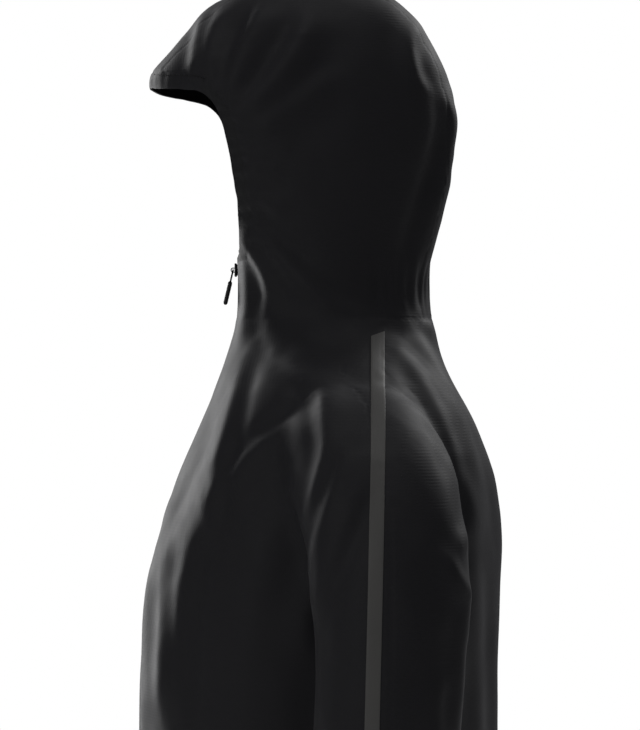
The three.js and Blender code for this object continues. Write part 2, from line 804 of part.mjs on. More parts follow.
// The cord runs through the lug's eye, down both sides of it, and ends at the grip.
function pullCord() {
  const points = [
    [-pullHalfWidth, -pullCordReach],
    [-pullHalfWidth, -pullCordReach / 2],
    [-pullHalfWidth + 0.3, -0.9],
    [-pullHalfWidth + 1.1, 0],
    [pullHalfWidth - 1.1, 0],
    [pullHalfWidth - 0.3, -0.9],
    [pullHalfWidth, -pullCordReach / 2],
    [pullHalfWidth, -pullCordReach],
  ].map(([x, z]) => new THREE.Vector3(x, 0, z));
  const path = new THREE.CatmullRomCurve3(points, false, "centripetal");
  const section = new THREE.Shape();
  section.absarc(0, 0, pullCordRadius, 0, 2 * Math.PI);
  return new THREE.ExtrudeGeometry(section, { extrudePath: path, steps: 14, curveSegments: 3 });
}

function grip() {
  const shape = new THREE.Shape();
  const round = gripCorner;
  const [hx, hy] = [gripWidth / 2, gripThickness / 2];
  shape.moveTo(-hx + round, -hy);
  shape.lineTo(hx - round, -hy);
  shape.absarc(hx - round, -hy + round, round, -Math.PI / 2, 0);
  shape.lineTo(hx, hy - round);
  shape.absarc(hx - round, hy - round, round, 0, Math.PI / 2);
  shape.lineTo(-hx + round, hy);
  shape.absarc(-hx + round, hy - round, round, Math.PI / 2, Math.PI);
  shape.lineTo(-hx, -hy + round);
  shape.absarc(-hx + round, -hy + round, round, Math.PI, 1.5 * Math.PI);
  const settings = { depth: gripLength, bevelEnabled: false, curveSegments: 3 };
  const geometry = new THREE.ExtrudeGeometry(shape, settings);
  geometry.translate(0, 0, -pullCordReach - touchGap - gripLength);
  return geometry;
}

function zipHardware(parent, name, height, reach, tilt) {
  const slider = new THREE.Group();
  slider.position.z = height;
  add(slider, `${name}_slider`, toGeometry(sliderSolid(reach)), "moulded");
  const pull = new THREE.Group();
  pull.position.y = hingeReach;
  pull.rotation.x = -tilt;
  add(pull, `${name}_pull_cord`, pullCord(), "cord");
  add(pull, `${name}_pull_grip`, grip(), "moulded");
  slider.add(pull);
  parent.add(slider);
}

function frontZip() {
  const coilDepth = tapeDepth + tapeThickness + touchGap;
  const sliderReach = coilDepth + coilThickness + touchGap;
  const flapDepth = sliderReach + sliderPlate + touchGap + flapPlay;
  for (const side of [1, -1]) {
    const ends = (a, b) => [Math.min(side * a, side * b), Math.max(side * a, side * b)];
    const tapeX = ends(zipSlit, zipSlit + tapeWidth);
    const coilX = ends(zipSlit, zipSlit + coilWidth);
    const tape = frontRibbon(...tapeX, tapeDepth, tapeDepth + tapeThickness, zipBottom, zipTop);
    const coil = frontRibbon(...coilX, coilDepth, coilDepth + coilThickness, zipBottom, zipTop - coilShort);
    add(group, `zip_tape_${sideName(side)}`, toGeometry(tape), "tape");
    add(group, `zip_coil_${sideName(side)}`, toGeometry(coil), "moulded");
  }
  const retainer = frontRibbon(
    -retainerHalfWidth,
    retainerHalfWidth,
    -retainerProud,
    retainerDepth,
    retainerLow,
    zipBottom - retainerGap,
  );
  add(group, "zip_retainer_box", toGeometry(retainer), "moulded");
  const root = frontEdgeX + flapRoot;
  const low = hemHeight + flapLow;
  const high = zipTop - flapShort;
  const sewnEdge = bodyLayer(fabricWall + touchGap, flapDepth + flapSewnDepth)
    .intersect(boxSolid(root, flapWidth - root, -farSide, 0, low, high));
  const flap = frontRibbon(-root, flapWidth - root, flapDepth, flapDepth + flapThickness, low, high)
    .add(sewnEdge);
  add(group, "storm_flap", toGeometry(flap), "shell");
  const guardDepth = flapDepth + flapThickness + touchGap;
  const guardBack = guardDepth + chinGuardThickness;
  const guard = frontRibbon(-root, root - seamGap, guardDepth, guardBack, zipTop - chinGuardHeight, high);
  add(group, "chin_guard", toGeometry(guard), "lining");
  const carrier = new THREE.Group();
  carrier.position.y = rowAt(chinHeight)[1];
  zipHardware(carrier, "front_zip", zipSliderHeight, sliderReach, frontPullTilt);
  group.add(carrier);
}

function pockets() {
  const sliderReach = tapeDepth + tapeThickness + touchGap;
  for (const side of [1, -1]) {
    const frame = pocketFrame(side);
    const half = pocketSlot / 2 - pocketClear;
    const [low, high] = [pocketLow + pocketClear, pocketHigh - pocketClear];
    const slit = [pocketLow + pocketZipEnd, pocketHigh - pocketZipEnd];
    const tape = boxSolid(-half, half, tapeDepth, tapeDepth + tapeThickness, low, high)
      .subtract(boxSolid(-zipSlit, zipSlit, -cutDepth, cutDepth, ...slit));
    add(frame, `pocket_tape_${sideName(side)}`, toGeometry(tape), "tape");
    zipHardware(frame, `pocket_zip_${sideName(side)}`, pocketSliderHeight, sliderReach, pocketPullTilt);
    group.add(frame);
    const channel = sliderReach + sliderPlate + touchGap;
    const middle = side * (pocketX - pocketBagShift);
    const bag = bodyLayer(fabricWall + touchGap, channel + pocketBagThickness)
      .intersect(boxSolid(
        middle - pocketBagWidth / 2,
        middle + pocketBagWidth / 2,
        -farSide,
        0,
        pocketLow - pocketBagBelow,
        pocketHigh + pocketBagAbove,
      ))
      .subtract(pocketBox(side, -half, half, -cutDepth, channel, pocketLow - 1, pocketHigh + 1));
    add(group, `pocket_bag_${sideName(side)}`, toGeometry(bag), "lining");
  }
}

function hangerLoop() {
  const high = hangerLow + hangerHeight;
  const back = rowAt(high)[2] - fabricWall - hangerClear;
  const slotHalf = hangerWidth / 2 - hangerStitched;
  const tape = boxSolid(-hangerWidth / 2, hangerWidth / 2, back - hangerThickness, back, hangerLow, high);
  const slot = boxSolid(-slotHalf, slotHalf, 0, farSide, hangerLow + hangerTape, high - hangerTape);
  const loop = tape.subtract(slot);
  add(group, "hanger_loop", toGeometry(loop), "lining");
}

bodyPanels();
hem();
hemLocks();
hood();
sleeves();
cuffs();
frontZip();
pockets();
hangerLoop();

export default group;
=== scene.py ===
import json
import math

import bmesh
import bpy
import numpy as np
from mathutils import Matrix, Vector
from mathutils.bvhtree import BVHTree

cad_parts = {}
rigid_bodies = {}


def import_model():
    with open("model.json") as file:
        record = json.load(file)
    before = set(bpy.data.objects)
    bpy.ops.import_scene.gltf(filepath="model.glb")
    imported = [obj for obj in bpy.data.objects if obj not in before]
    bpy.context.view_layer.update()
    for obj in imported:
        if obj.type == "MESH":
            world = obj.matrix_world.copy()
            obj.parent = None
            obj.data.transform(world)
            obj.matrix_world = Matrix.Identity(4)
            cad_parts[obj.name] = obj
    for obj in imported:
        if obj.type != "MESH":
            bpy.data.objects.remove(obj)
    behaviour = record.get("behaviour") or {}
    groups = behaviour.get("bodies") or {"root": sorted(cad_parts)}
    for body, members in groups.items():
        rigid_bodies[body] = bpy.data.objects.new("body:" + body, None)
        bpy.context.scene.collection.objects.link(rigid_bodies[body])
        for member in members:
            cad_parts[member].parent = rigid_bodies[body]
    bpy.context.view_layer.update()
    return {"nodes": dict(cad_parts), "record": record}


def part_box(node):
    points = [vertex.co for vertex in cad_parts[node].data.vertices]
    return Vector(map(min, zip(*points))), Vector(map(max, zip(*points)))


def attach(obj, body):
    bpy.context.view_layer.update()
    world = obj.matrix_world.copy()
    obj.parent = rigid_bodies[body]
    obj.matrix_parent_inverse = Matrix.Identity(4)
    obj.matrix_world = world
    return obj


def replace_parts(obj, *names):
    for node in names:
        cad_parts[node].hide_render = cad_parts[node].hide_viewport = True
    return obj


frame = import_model()

# ---- places taken from the frame, in metres ----

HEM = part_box("hem_band")[0].z
HEM_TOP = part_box("hem_band")[1].z
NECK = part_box("hood_side_left")[0].z
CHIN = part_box("zip_tape_left")[1].z + 0.003
ZIP_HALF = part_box("front_panel_left")[0].x
STRIP_HALF = 0.0055
SIDE_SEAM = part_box("front_panel_left")[1].y
CUFF_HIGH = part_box("cuff_left")[1]

# Level sections of body and hood: height above the hem, front, back, half width, roundness.
SECTIONS = [
    (0.000, -0.140, 0.141, 0.190, 2.5),
    (0.100, -0.146, 0.144, 0.187, 2.4),
    (0.200, -0.148, 0.145, 0.186, 2.4),
    (0.320, -0.148, 0.145, 0.186, 2.4),
    (0.404, -0.142, 0.147, 0.187, 2.4),
    (0.450, -0.132, 0.148, 0.188, 2.4),
    (0.496, -0.119, 0.143, 0.187, 2.4),
    (0.541, -0.100, 0.129, 0.180, 2.3),
    (0.576, -0.085, 0.111, 0.160, 2.2),
    (0.600, -0.077, 0.100, 0.126, 2.1),
    (0.616, -0.072, 0.096, 0.102, 2.1),
    (0.634, -0.068, 0.092, 0.087, 2.1),
    (0.655, -0.068, 0.090, 0.083, 2.1),
    (0.684, -0.068, 0.090, 0.084, 2.1),
    (0.712, -0.083, 0.098, 0.088, 2.1),
    (0.740, -0.098, 0.103, 0.093, 2.2),
    (0.770, -0.114, 0.109, 0.097, 2.2),
    (0.800, -0.130, 0.112, 0.099, 2.2),
    (0.824, -0.1435, 0.108, 0.098, 2.2),
    (0.850, -0.122, 0.097, 0.092, 2.2),
    (0.870, -0.105, 0.086, 0.083, 2.2),
    (0.886, -0.092, 0.072, 0.072, 2.2),
    (0.900, -0.064, 0.052, 0.054, 2.1),
    (0.911, -0.036, 0.024, 0.030, 2.0),
    (0.918, -0.010, -0.006, 0.002, 2.0),
]

# Sleeve centre line (left side) and section: x, y, height above the hem, half width, half depth.
SLEEVE = [
    (0.120, 0.018, 0.530, 0.056, 0.060),
    (0.178, 0.036, 0.512, 0.060, 0.064),
    (0.216, 0.048, 0.474, 0.058, 0.062),
    (0.236, 0.054, 0.425, 0.054, 0.060),
    (0.245, 0.053, 0.365, 0.050, 0.056),
    (0.248, 0.050, 0.300, 0.049, 0.056),
    (0.249, 0.047, 0.250, 0.048, 0.054),
    (0.249, 0.042, 0.207, 0.047, 0.052),
    (0.248, 0.034, 0.178, 0.046, 0.050),
    (0.248, 0.0244, 0.143, 0.045, 0.048),
    (0.248, 0.0144, 0.106, 0.0435, 0.0445),
    (0.248, 0.0044, 0.068, 0.042, 0.043),
]

# Edge of the face opening, front to back and height above the hem, from the chin up to the brim's tip.
FACE_EDGE = [
    (-0.0660, 0.684),
    (-0.0655, 0.700),
    (-0.0660, 0.718),
    (-0.0690, 0.740),
    (-0.0735, 0.765),
    (-0.0785, 0.787),
    (-0.0860, 0.804),
    (-0.0980, 0.8125),
    (-0.1120, 0.8150),
    (-0.1280, 0.8165),
    (-0.1500, 0.8225),
]

VOXEL = 0.005


# ---- small helpers ----

def cubic(xs, ys):
    """A smooth curve through the points that doesn't overshoot them."""
    xs, ys = np.asarray(xs, float), np.asarray(ys, float)
    step, rise = np.diff(xs), np.diff(ys)
    slope = rise / step
    tangent = np.zeros_like(ys)
    same = slope[:-1] * slope[1:] > 0
    weight_a, weight_b = 2 * step[1:] + step[:-1], step[1:] + 2 * step[:-1]
    with np.errstate(divide="ignore", invalid="ignore"):
        mean = (weight_a + weight_b) / (weight_a / slope[:-1] + weight_b / slope[1:])
    tangent[1:-1] = np.where(same, mean, 0)
    tangent[0], tangent[-1] = slope[0], slope[-1]

    def at(x):
        x = np.clip(x, xs[0], xs[-1])
        i = np.clip(np.searchsorted(xs, x) - 1, 0, len(step) - 1)
        t = (x - xs[i]) / step[i]
        return (
            (1 + 2 * t) * (1 - t) ** 2 * ys[i]
            + t * (1 - t) ** 2 * step[i] * tangent[i]
            + t * t * (3 - 2 * t) * ys[i + 1]
            + t * t * (t - 1) * step[i] * tangent[i + 1]
        )

    return at


SECTION_AT = [cubic([r[0] for r in SECTIONS], [r[k] for r in SECTIONS]) for k in range(1, 5)]
SLEEVE_AT = [cubic(range(len(SLEEVE)), [r[k] for r in SLEEVE]) for k in range(5)]


def smoothstep(a, b, x):
    t = np.clip((x - a) / (b - a), 0, 1)
    return t * t * (3 - 2 * t)


def coords(mesh):
    co = np.empty(len(mesh.vertices) * 3)
    mesh.vertices.foreach_get("co", co)
    return co.reshape(-1, 3)


def normals(mesh):
    no = np.empty(len(mesh.vertices) * 3)
    mesh.vertex_normals.foreach_get("vector", no)
    return no.reshape(-1, 3)


def set_coords(mesh, co):
    mesh.vertices.foreach_set("co", co.ravel())
    mesh.update()


def link(name, mesh):
    obj = bpy.data.objects.new(name, mesh)
    bpy.context.scene.collection.objects.link(obj)
    return obj


def bm_object(name, bm):
    mesh = bpy.data.meshes.new(name)
    bm.to_mesh(mesh)
    bm.free()
    return link(name, mesh)


def baked(obj):
    """The object's mesh with its modifiers applied; the object keeps it and loses them."""
    graph = bpy.context.evaluated_depsgraph_get()
    mesh = bpy.data.meshes.new_from_object(obj.evaluated_get(graph))
    old = obj.data
    obj.modifiers.clear()
    obj.data = mesh
    bpy.data.meshes.remove(old)
    return obj


def grid(u_count, v_count, place, wrap=False):
    """A bmesh grid whose points are placed by place(u, v), u and v from 0 to 1; wrap joins its u ends."""
    bm = bmesh.new()
    bmesh.ops.create_grid(bm, x_segments=u_count, y_segments=v_count, size=0.5, calc_uvs=True)
    for vert in bm.verts:
        vert.co = place(vert.co.x + 0.5, vert.co.y + 0.5)
    if wrap:
        bmesh.ops.remove_doubles(bm, verts=bm.verts, dist=1e-6)
    return bm


# ---- the closed form that the shell is cut from ----

def body_point(u, v):
    height = v * SECTIONS[-1][0]
    front, back, half, power = (float(f(height)) for f in SECTION_AT)
    angle = 2 * math.pi * u
    c, s = math.cos(angle), math.sin(angle)
    x = half * math.copysign(abs(c) ** (2 / power), c)
    y = (front + back) / 2 + (back - front) / 2 * math.copysign(abs(s) ** (2 / power), s)
    return Vector((x, y, HEM + height))


def sleeve_frame(t):
    x, y, z, half, depth = (float(f(t)) for f in SLEEVE_AT)
    ahead = [float(SLEEVE_AT[k](min(t + 0.1, len(SLEEVE) - 1))) for k in range(3)]
    behind = [float(SLEEVE_AT[k](max(t - 0.1, 0))) for k in range(3)]
    along = (Vector(ahead) - Vector(behind)).normalized()
    forward = (Vector((0, -1, 0)) + along * along.y).normalized()
    outer = forward.cross(along).normalized()
    return Vector((x, y, HEM + z)), along, forward, outer, half, depth


def sleeve_point(side, t, angle, lift=0.0):
    centre, _, forward, outer, half, depth = sleeve_frame(t)
    point = centre + outer * (half + lift) * math.cos(angle) + forward * (depth + lift) * math.sin(angle)
    point.x *= side
    return point


def capped(bm):
    edges = [e for e in bm.edges if e.is_boundary]
    bmesh.ops.holes_fill(bm, edges=edges, sides=0)
    bmesh.ops.recalc_face_normals(bm, faces=bm.faces)
    return bm


def whole_form():
    """Body, hood and sleeves in one closed skin of even small faces."""
    body = bm_object("form", capped(grid(112, 120, body_point, wrap=True)))
    parts = [body]
    for side in (1, -1):
        last = len(SLEEVE) - 1
        tube = grid(48, 70, lambda u, v: sleeve_point(side, v * last, 2 * math.pi * u), wrap=True)
        parts.append(bm_object("form_sleeve", capped(tube)))
    bpy.ops.object.select_all(action="DESELECT")
    for part in parts:
        part.select_set(True)
    bpy.context.view_layer.objects.active = body
    bpy.ops.object.join()
    remesh = body.modifiers.new("remesh", "REMESH")
    remesh.mode = "VOXEL"
    remesh.voxel_size = VOXEL
    baked(body)
    set_coords(body.data, relaxed(body.data, coords(body.data), 12, 0.5))
    return body


def edge_ends(mesh):
    ends = np.empty(len(mesh.edges) * 2, int)
    mesh.edges.foreach_get("vertices", ends)
    return ends.reshape(-1, 2)


def relaxed(mesh, co, rounds, factor):
    """Points moved towards the mean of their neighbours."""
    a, b = edge_ends(mesh).T
    count = np.bincount(a, minlength=len(co)) + np.bincount(b, minlength=len(co))
    for _ in range(rounds):
        total = np.zeros_like(co)
        for k in range(3):
            total[:, k] = np.bincount(a, co[b, k], len(co)) + np.bincount(b, co[a, k], len(co))
        co = co + factor * (total / count[:, None] - co)
    return co


# ---- folds ----

# Folds seen from the side: points (y, z) in mm, width in mm, height in mm (a furrow is negative), and
# how much steeper the fold is on its left hand going along it.
SIDE_FOLDS = [
    # hood, from the gathered face edge up and back
    ([(-102, 221), (-99, 250), (-93, 282)], 7, 3.0, 1.6),
    ([(-86, 212), (-87, 245), (-78, 285)], 6, 2.6, 1.5),
    ([(-71, 200), (-68, 232), (-52, 268), (-40, 290)], 8, 4.0, 1.7),
    ([(-62, 188), (-44, 214), (-22, 246), (-4, 282)], 9, 4.2, 1.6),
    ([(-61, 174), (-36, 190), (-11, 208), (14, 232)], 8, 3.2, 1.5),
    ([(-66, 158), (-45, 164), (-20, 166)], 7, 2.4, 1.4),
    ([(-67, 143), (-50, 149), (-26, 148)], 7, 2.4, 1.4),
    ([(-67, 131), (-48, 128), (-25, 119)], 7, 2.2, 1.4),
    # from the chin down over the shoulder
    ([(-64, 124), (-48, 102), (-28, 80), (-6, 58), (18, 40), (44, 30)], 8, 4.6, 1.9),
    ([(-62, 108), (-50, 82), (-38, 56), (-30, 34)], 7, 3.4, 1.6),
    ([(-66, 92), (-61, 62), (-60, 30), (-66, 0)], 6, 2.8, 1.4),
    # back of the hood down to the nape
    ([(110, 216), (103, 206), (107, 190), (98, 150), (84, 112), (74, 74), (70, 56)], 8, 4.0, 0.6),
    ([(104, 160), (97, 120), (88, 84), (84, 62)], 5, 2.6, 1.3),
    ([(83, 272), (72, 248), (76, 222), (92, 208)], 6, 2.0, 1.3),
    # chest
    ([(-56, 12), (-66, -34), (-78, -92), (-90, -156)], 8, 5.0, 1.9),
    ([(-36, 4), (-12, -18), (2, -34), (3, -66), (-6, -110), (-16, -158)], 8, 4.8, 0.6),
    ([(-2, -38), (-34, -62), (-62, -86), (-84, -118)], 8, 4.0, 0.6),
    ([(-92, -118), (-104, -170), (-112, -240), (-112, -300)], 9, 3.6, 1.4),
    ([(-118, -130), (-126, -190), (-124, -250), (-128, -320)], 8, 3.6, 1.5),
    ([(-132, -150), (-138, -210), (-136, -280), (-138, -340)], 7, 3.0, 1.4),
    ([(-98, -60), (-118, -96), (-134, -150)], 8, 3.0, 1.4),
    ([(-80, -10), (-100, -50), (-118, -88)], 7, 3.0, 1.3),
    # sleeve
    ([(26, -60), (14, -96), (0, -140), (-8, -180)], 8, 3.8, 0.6),
    ([(38, -78), (22, -120), (4, -170), (-8, -210), (-2, -252)], 8, 3.8, 1.7),
    ([(106, -80), (117, -122), (98, -156), (112, -190), (106, -240), (104, -300)], 8, 3.8, 0.7),
    ([(84, -140), (100, -168), (112, -186)], 7, 3.0, 1.4),
    ([(96, -230), (86, -270), (92, -320)], 7, 2.8, 1.4),
    # back of the shoulder, from the nape
    ([(70, 22), (96, -14), (116, -60), (128, -112)], 7, 3.6, 0.7),
    ([(62, 6), (88, -30), (104, -72), (108, -110)], 7, 3.2, 0.7),
    ([(78, 34), (104, 8), (126, -38)], 5, 2.8, 0.8),
]


def polyline_offset(p, q, points):
    """Signed distance of (p, q) from a line through the points, and the share of the way along it."""
    best = np.full(p.shape, 1e9)
    signed = np.zeros(p.shape)
    share = np.zeros(p.shape)
    lengths = [math.dist(a, b) for a, b in zip(points, points[1:])]
    done = 0.0
    for (a, b), length in zip(zip(points, points[1:]), lengths):
        dx, dy = (b[0] - a[0]) / length, (b[1] - a[1]) / length
        t = np.clip((p - a[0]) * dx + (q - a[1]) * dy, 0, length)
        ox, oy = p - a[0] - t * dx, q - a[1] - t * dy
        d = np.hypot(ox, oy)
        near = d < best
        best = np.where(near, d, best)
        signed = np.where(near, np.where(dx * oy - dy * ox > 0, d, -d), signed)
        share = np.where(near, (done + t) / sum(lengths), share)
        done += length
    return signed, share


def rounded(points, per_span=6):
    """The same line with smooth bends."""
    xs = cubic(range(len(points)), [p[0] for p in points])
    ys = cubic(range(len(points)), [p[1] for p in points])
    ts = np.linspace(0, len(points) - 1, (len(points) - 1) * per_span + 1)
    return list(zip(xs(ts).tolist(), ys(ts).tolist()))


def side_folds(co, no, side):
    """Height of the side folds at each point; they fade where the surface turns away from that side."""
    y, z = co[:, 1] * 1000, co[:, 2] * 1000
    facing = smoothstep(-0.1, 0.35, side * no[:, 0]) * (side * co[:, 0] > 0)
    lift = np.zeros(len(co))
    for points, width, height, skew in SIDE_FOLDS:
        signed, share = polyline_offset(y, z, rounded(points))
        left = signed > 0
        w = np.where(left, width / skew, width * skew)
        ridge = np.exp(-np.abs(signed / w) ** 1.6)
        furrow = 0.45 * np.exp(-(((np.abs(signed) - 2.0 * w) / (1.1 * w)) ** 2))
        ends = smoothstep(0.0, 0.2, share) * (1 - smoothstep(0.72, 1.0, share))
        ends = np.maximum(ends, 0.35 * (1 - smoothstep(0, 0.05, share)))
        lift += height / 1000 * (ridge - furrow) * ends
    return lift * facing


def waves(co, seed, size, stretch=(1, 1, 1)):
    """Smooth uneven waves of about the given size, from -1 to 1."""
    random = np.random.default_rng(seed)
    total = np.zeros(len(co))
    p = co / size * np.array(stretch)
    for _ in range(9):
        direction = random.normal(size=3)
        direction /= np.linalg.norm(direction)
        bend = random.normal(size=3)
        phase = random.uniform(0, 2 * math.pi, 2)
        total += np.sin(
            2 * math.pi * random.uniform(0.6, 1.3) * (p @ direction)
            + 1.6 * np.sin(2 * math.pi * 0.5 * (p @ bend) + phase[1])
            + phase[0]
        )
    return total / 4.5


def fold_height(co, no):
    lift = side_folds(co, no, 1) + side_folds(co * (1, 1.02, 1.01) + (0, 0.004, -0.006), no, -1)
    lift *= 1 + 0.6 * smoothstep(NECK, NECK + 0.04, co[:, 2])
    lift += 0.0016 * waves(co, 3, 0.15, (1.0, 1.0, 0.45))
    lift += 0.0007 * waves(co, 5, 0.06, (1.0, 1.0, 0.6))
    upright = 1 - smoothstep(0.3, 0.9, np.abs(no[:, 2]))
    below = 1 - smoothstep(-0.30, -0.02, co[:, 2])
    around = np.arctan2(co[:, 1], co[:, 0])
    drape = np.sin(11 * around + 1.3 * np.sin(3 * around + 9 * co[:, 2])) * np.sin(5 * around + 1.7)
    trunk = np.abs(co[:, 0]) < 0.195
    lift += 0.0028 * drape * upright * below * trunk
    return lift


# ---- natural slack ----

def relax_cloth(obj, frames, slack, hold):
    """Lets the fabric, cut a little too large, buckle by itself while it is held near its form."""
    group = obj.vertex_groups.new(name="held")
    group.add(range(len(obj.data.vertices)), hold, "REPLACE")
    cloth = obj.modifiers.new("cloth", "CLOTH")
    settings = cloth.settings
    settings.quality = 6
    settings.mass = 0.12
    settings.tension_stiffness = 25
    settings.compression_stiffness = 25
    settings.shear_stiffness = 12
    settings.bending_stiffness = 6
    settings.tension_damping = settings.compression_damping = 15
    settings.vertex_group_mass = "held"
    settings.pin_stiffness = 1.0
    settings.shrink_min = -slack
    settings.effector_weights.gravity = 0.4
    cloth.collision_settings.use_collision = False
    scene = bpy.context.scene
    cloth.point_cache.frame_start = 1
    cloth.point_cache.frame_end = frames + 1
    for number in range(1, frames + 1):
        scene.frame_set(number)
    baked(obj)
    scene.frame_set(1)
    obj.vertex_groups.clear()


# ---- places of the moving pieces, from their joints ----

JOINTS = {joint["name"]: joint for joint in frame["record"]["behaviour"]["joints"]}
HINGE_REACH = 0.0034


def zip_frame(hinge):
    """A slider's origin and the direction across it, from the hinge of its pull."""
    across = -Vector(JOINTS[hinge]["axis"])
    inward = Vector((0, 0, 1)).cross(across)
    return Vector(JOINTS[hinge]["pos_m"]) + inward * HINGE_REACH, across


def middle_of(node):
    low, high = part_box(node)
    return (low + high) / 2


ZIP_FRAMES = {
    "front": zip_frame("front_zip_pull_swing"),
    "left_pocket": zip_frame("pocket_zip_pull_swing_left"),
    "right_pocket": zip_frame("pocket_zip_pull_swing_right"),
}
SLOT_LOW, SLOT_HIGH = (corner.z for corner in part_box("pocket_tape_left"))
SLOT_HALF = 0.006
LOCK_PLACE = {name: middle_of(f"hem_lock_body_{name}") for name in ("left", "right")}


# ---- labelling the form's faces as panels ----

FACE_LINE = [(y, HEM + z) for y, z in rounded(FACE_EDGE, 4)]
FACE_POLYGON = [(-0.3, CHIN), *FACE_LINE, (-0.3, FACE_LINE[-1][1])]
HOOD_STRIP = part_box("hood_centre_panel")[1].x
CENTRE_TURN = Vector((0, -0.02, 0.19))
BINDING_WIDTH = 0.009
BRIM_WIDTH = 0.013
BRIM_START = -0.094
ARM_PIT = -0.165
BODY_GAP = 0.1925
SHOULDER_IN = 0.13
CUFF_ROW = 10
LABELS = [
    "open", "front_left", "front_right", "back", "sleeve_front_left", "sleeve_front_right",
    "sleeve_back_left", "sleeve_back_right", "hood_left", "hood_right", "hood_centre",
    "brim", "binding_left", "binding_right", "hem_band",
]
NUMBER = {name: number for number, name in enumerate(LABELS)}
SLEEVE_LINE = [sleeve_frame(0.1 * k) for k in range(8, 112)]


def inside_outline(y, z, outline):
    odd = np.zeros(y.shape, bool)
    for (y0, z0), (y1, z1) in zip(outline, outline[1:] + outline[:1]):
        if z0 == z1:
            continue
        crosses = ((z0 > z) != (z1 > z)) & (y < y0 + (z - z0) / (z1 - z0) * (y1 - y0))
        odd ^= crosses
    return odd


def sleeve_place(c):
    """For each point: whether it belongs to a sleeve, whether to its front half, and whether past its end."""
    mirrored = c * (1, 1, 1)
    mirrored[:, 0] = np.abs(c[:, 0])
    centres = np.array([f[0] for f in SLEEVE_LINE])
    near = np.empty(len(c), int)
    for low in range(0, len(c), 20000):
        block = mirrored[low:low + 20000]
        near[low:low + 20000] = ((block[:, None, :] - centres[None]) ** 2).sum(2).argmin(1)
    forward = np.array([f[2] for f in SLEEVE_LINE])[near]
    outer = np.array([f[3] for f in SLEEVE_LINE])[near]
    half = np.array([f[4] for f in SLEEVE_LINE])[near]
    depth = np.array([f[5] for f in SLEEVE_LINE])[near]
    away = mirrored - centres[near]
    ahead = (away * forward).sum(1)
    reach = np.hypot((away * outer).sum(1) / half, ahead / depth)
    front, back, width, power = (f(c[:, 2] - HEM) for f in SECTION_AT)
    across = (mirrored[:, 0] / width) ** power
    along = np.abs((c[:, 1] - (front + back) / 2) / ((back - front) / 2)) ** power
    level = (across + along) ** (1 / power)
    nearer = np.abs(reach - 1) * half < np.abs(level - 1) * width
    high = (mirrored[:, 0] > SHOULDER_IN) & (c[:, 2] < 0) & nearer
    on = np.where(c[:, 2] < ARM_PIT, mirrored[:, 0] > BODY_GAP, high)
    end, end_along = sleeve_frame(CUFF_ROW)[:2]
    past = ((mirrored - np.array(end)) @ np.array(end_along)) > 0
    return on, ahead > 0, past


def face_labels(c):
    """The number of the panel that each face belongs to, by its centre."""
    left = c[:, 0] > 0
    x = np.abs(c[:, 0])
    y, z = c[:, 1], c[:, 2]
    pick = lambda a, b: np.where(left, NUMBER[a], NUMBER[b])
    label = np.where(y > SIDE_SEAM, NUMBER["back"], pick("front_left", "front_right"))
    label = np.where(z < HEM_TOP, NUMBER["hem_band"], label)
    hood = z > NECK
    label = np.where(hood, pick("hood_left", "hood_right"), label)
    centre = hood & (x < HOOD_STRIP) & ((y > CENTRE_TURN.y) | (z > CENTRE_TURN.z))
    label = np.where(centre, NUMBER["hood_centre"], label)
    signed, _ = polyline_offset(y, z, FACE_LINE)
    edge = np.abs(signed)
    brim = hood & (edge < BRIM_WIDTH) & (y < BRIM_START)
    binding = hood & (edge < BINDING_WIDTH) & ~brim & (z > CHIN - BINDING_WIDTH) & (y < 0) & ~centre
    label = np.where(binding, pick("binding_left", "binding_right"), label)
    label = np.where(brim, NUMBER["brim"], label)
    opened = (y < 0.02) & hood & inside_outline(y, z, FACE_POLYGON)
    opened |= (y < 0) & (x < ZIP_HALF) & (z < CHIN)
    origin, across = ZIP_FRAMES["left_pocket"]
    beside = (x - origin.x) * across.x + (y - origin.y) * across.y
    opened |= (y < 0) & (np.abs(beside) < SLOT_HALF) & (z > SLOT_LOW) & (z < SLOT_HIGH)
    on, front, past = sleeve_place(c)
    label = np.where(opened & ~on, NUMBER["open"], label)
    sleeve = np.where(
        front,
        pick("sleeve_front_left", "sleeve_front_right"),
        pick("sleeve_back_left", "sleeve_back_right"),
    )
    label = np.where(on, np.where(past, NUMBER["open"], sleeve), label)
    return label


def face_centres(mesh):
    centre = np.empty(len(mesh.polygons) * 3)
    mesh.polygons.foreach_get("center", centre)
    return centre.reshape(-1, 3)


def steady_labels(mesh, label, rounds=3):
    """Labels without stray faces: each face follows the most of its neighbours."""
    faces_of = {}
    for polygon in mesh.polygons:
        for key in polygon.edge_keys:
            faces_of.setdefault(key, []).append(polygon.index)
    pairs = np.array([f for f in faces_of.values() if len(f) == 2])
    for _ in range(rounds):
        votes = np.zeros((len(label), len(LABELS)), int)
        np.add.at(votes, (pairs[:, 0], label[pairs[:, 1]]), 1)
        np.add.at(votes, (pairs[:, 1], label[pairs[:, 0]]), 1)
        best = votes.argmax(1)
        label = np.where(votes.max(1) >= 3, best, label)
    return label, {key: f for key, f in faces_of.items() if len(f) == 2}


def nearest_on_line(y, z, line):
    best, place = 1e9, (y, z)
    for (y0, z0), (y1, z1) in zip(line, line[1:]):
        dy, dz = y1 - y0, z1 - z0
        t = max(0.0, min(1.0, ((y - y0) * dy + (z - z0) * dz) / (dy * dy + dz * dz)))
        found = (y0 + t * dy, z0 + t * dz)
        distance = math.dist(found, (y, z))
        if distance < best:
            best, place = distance, found
    return best, place


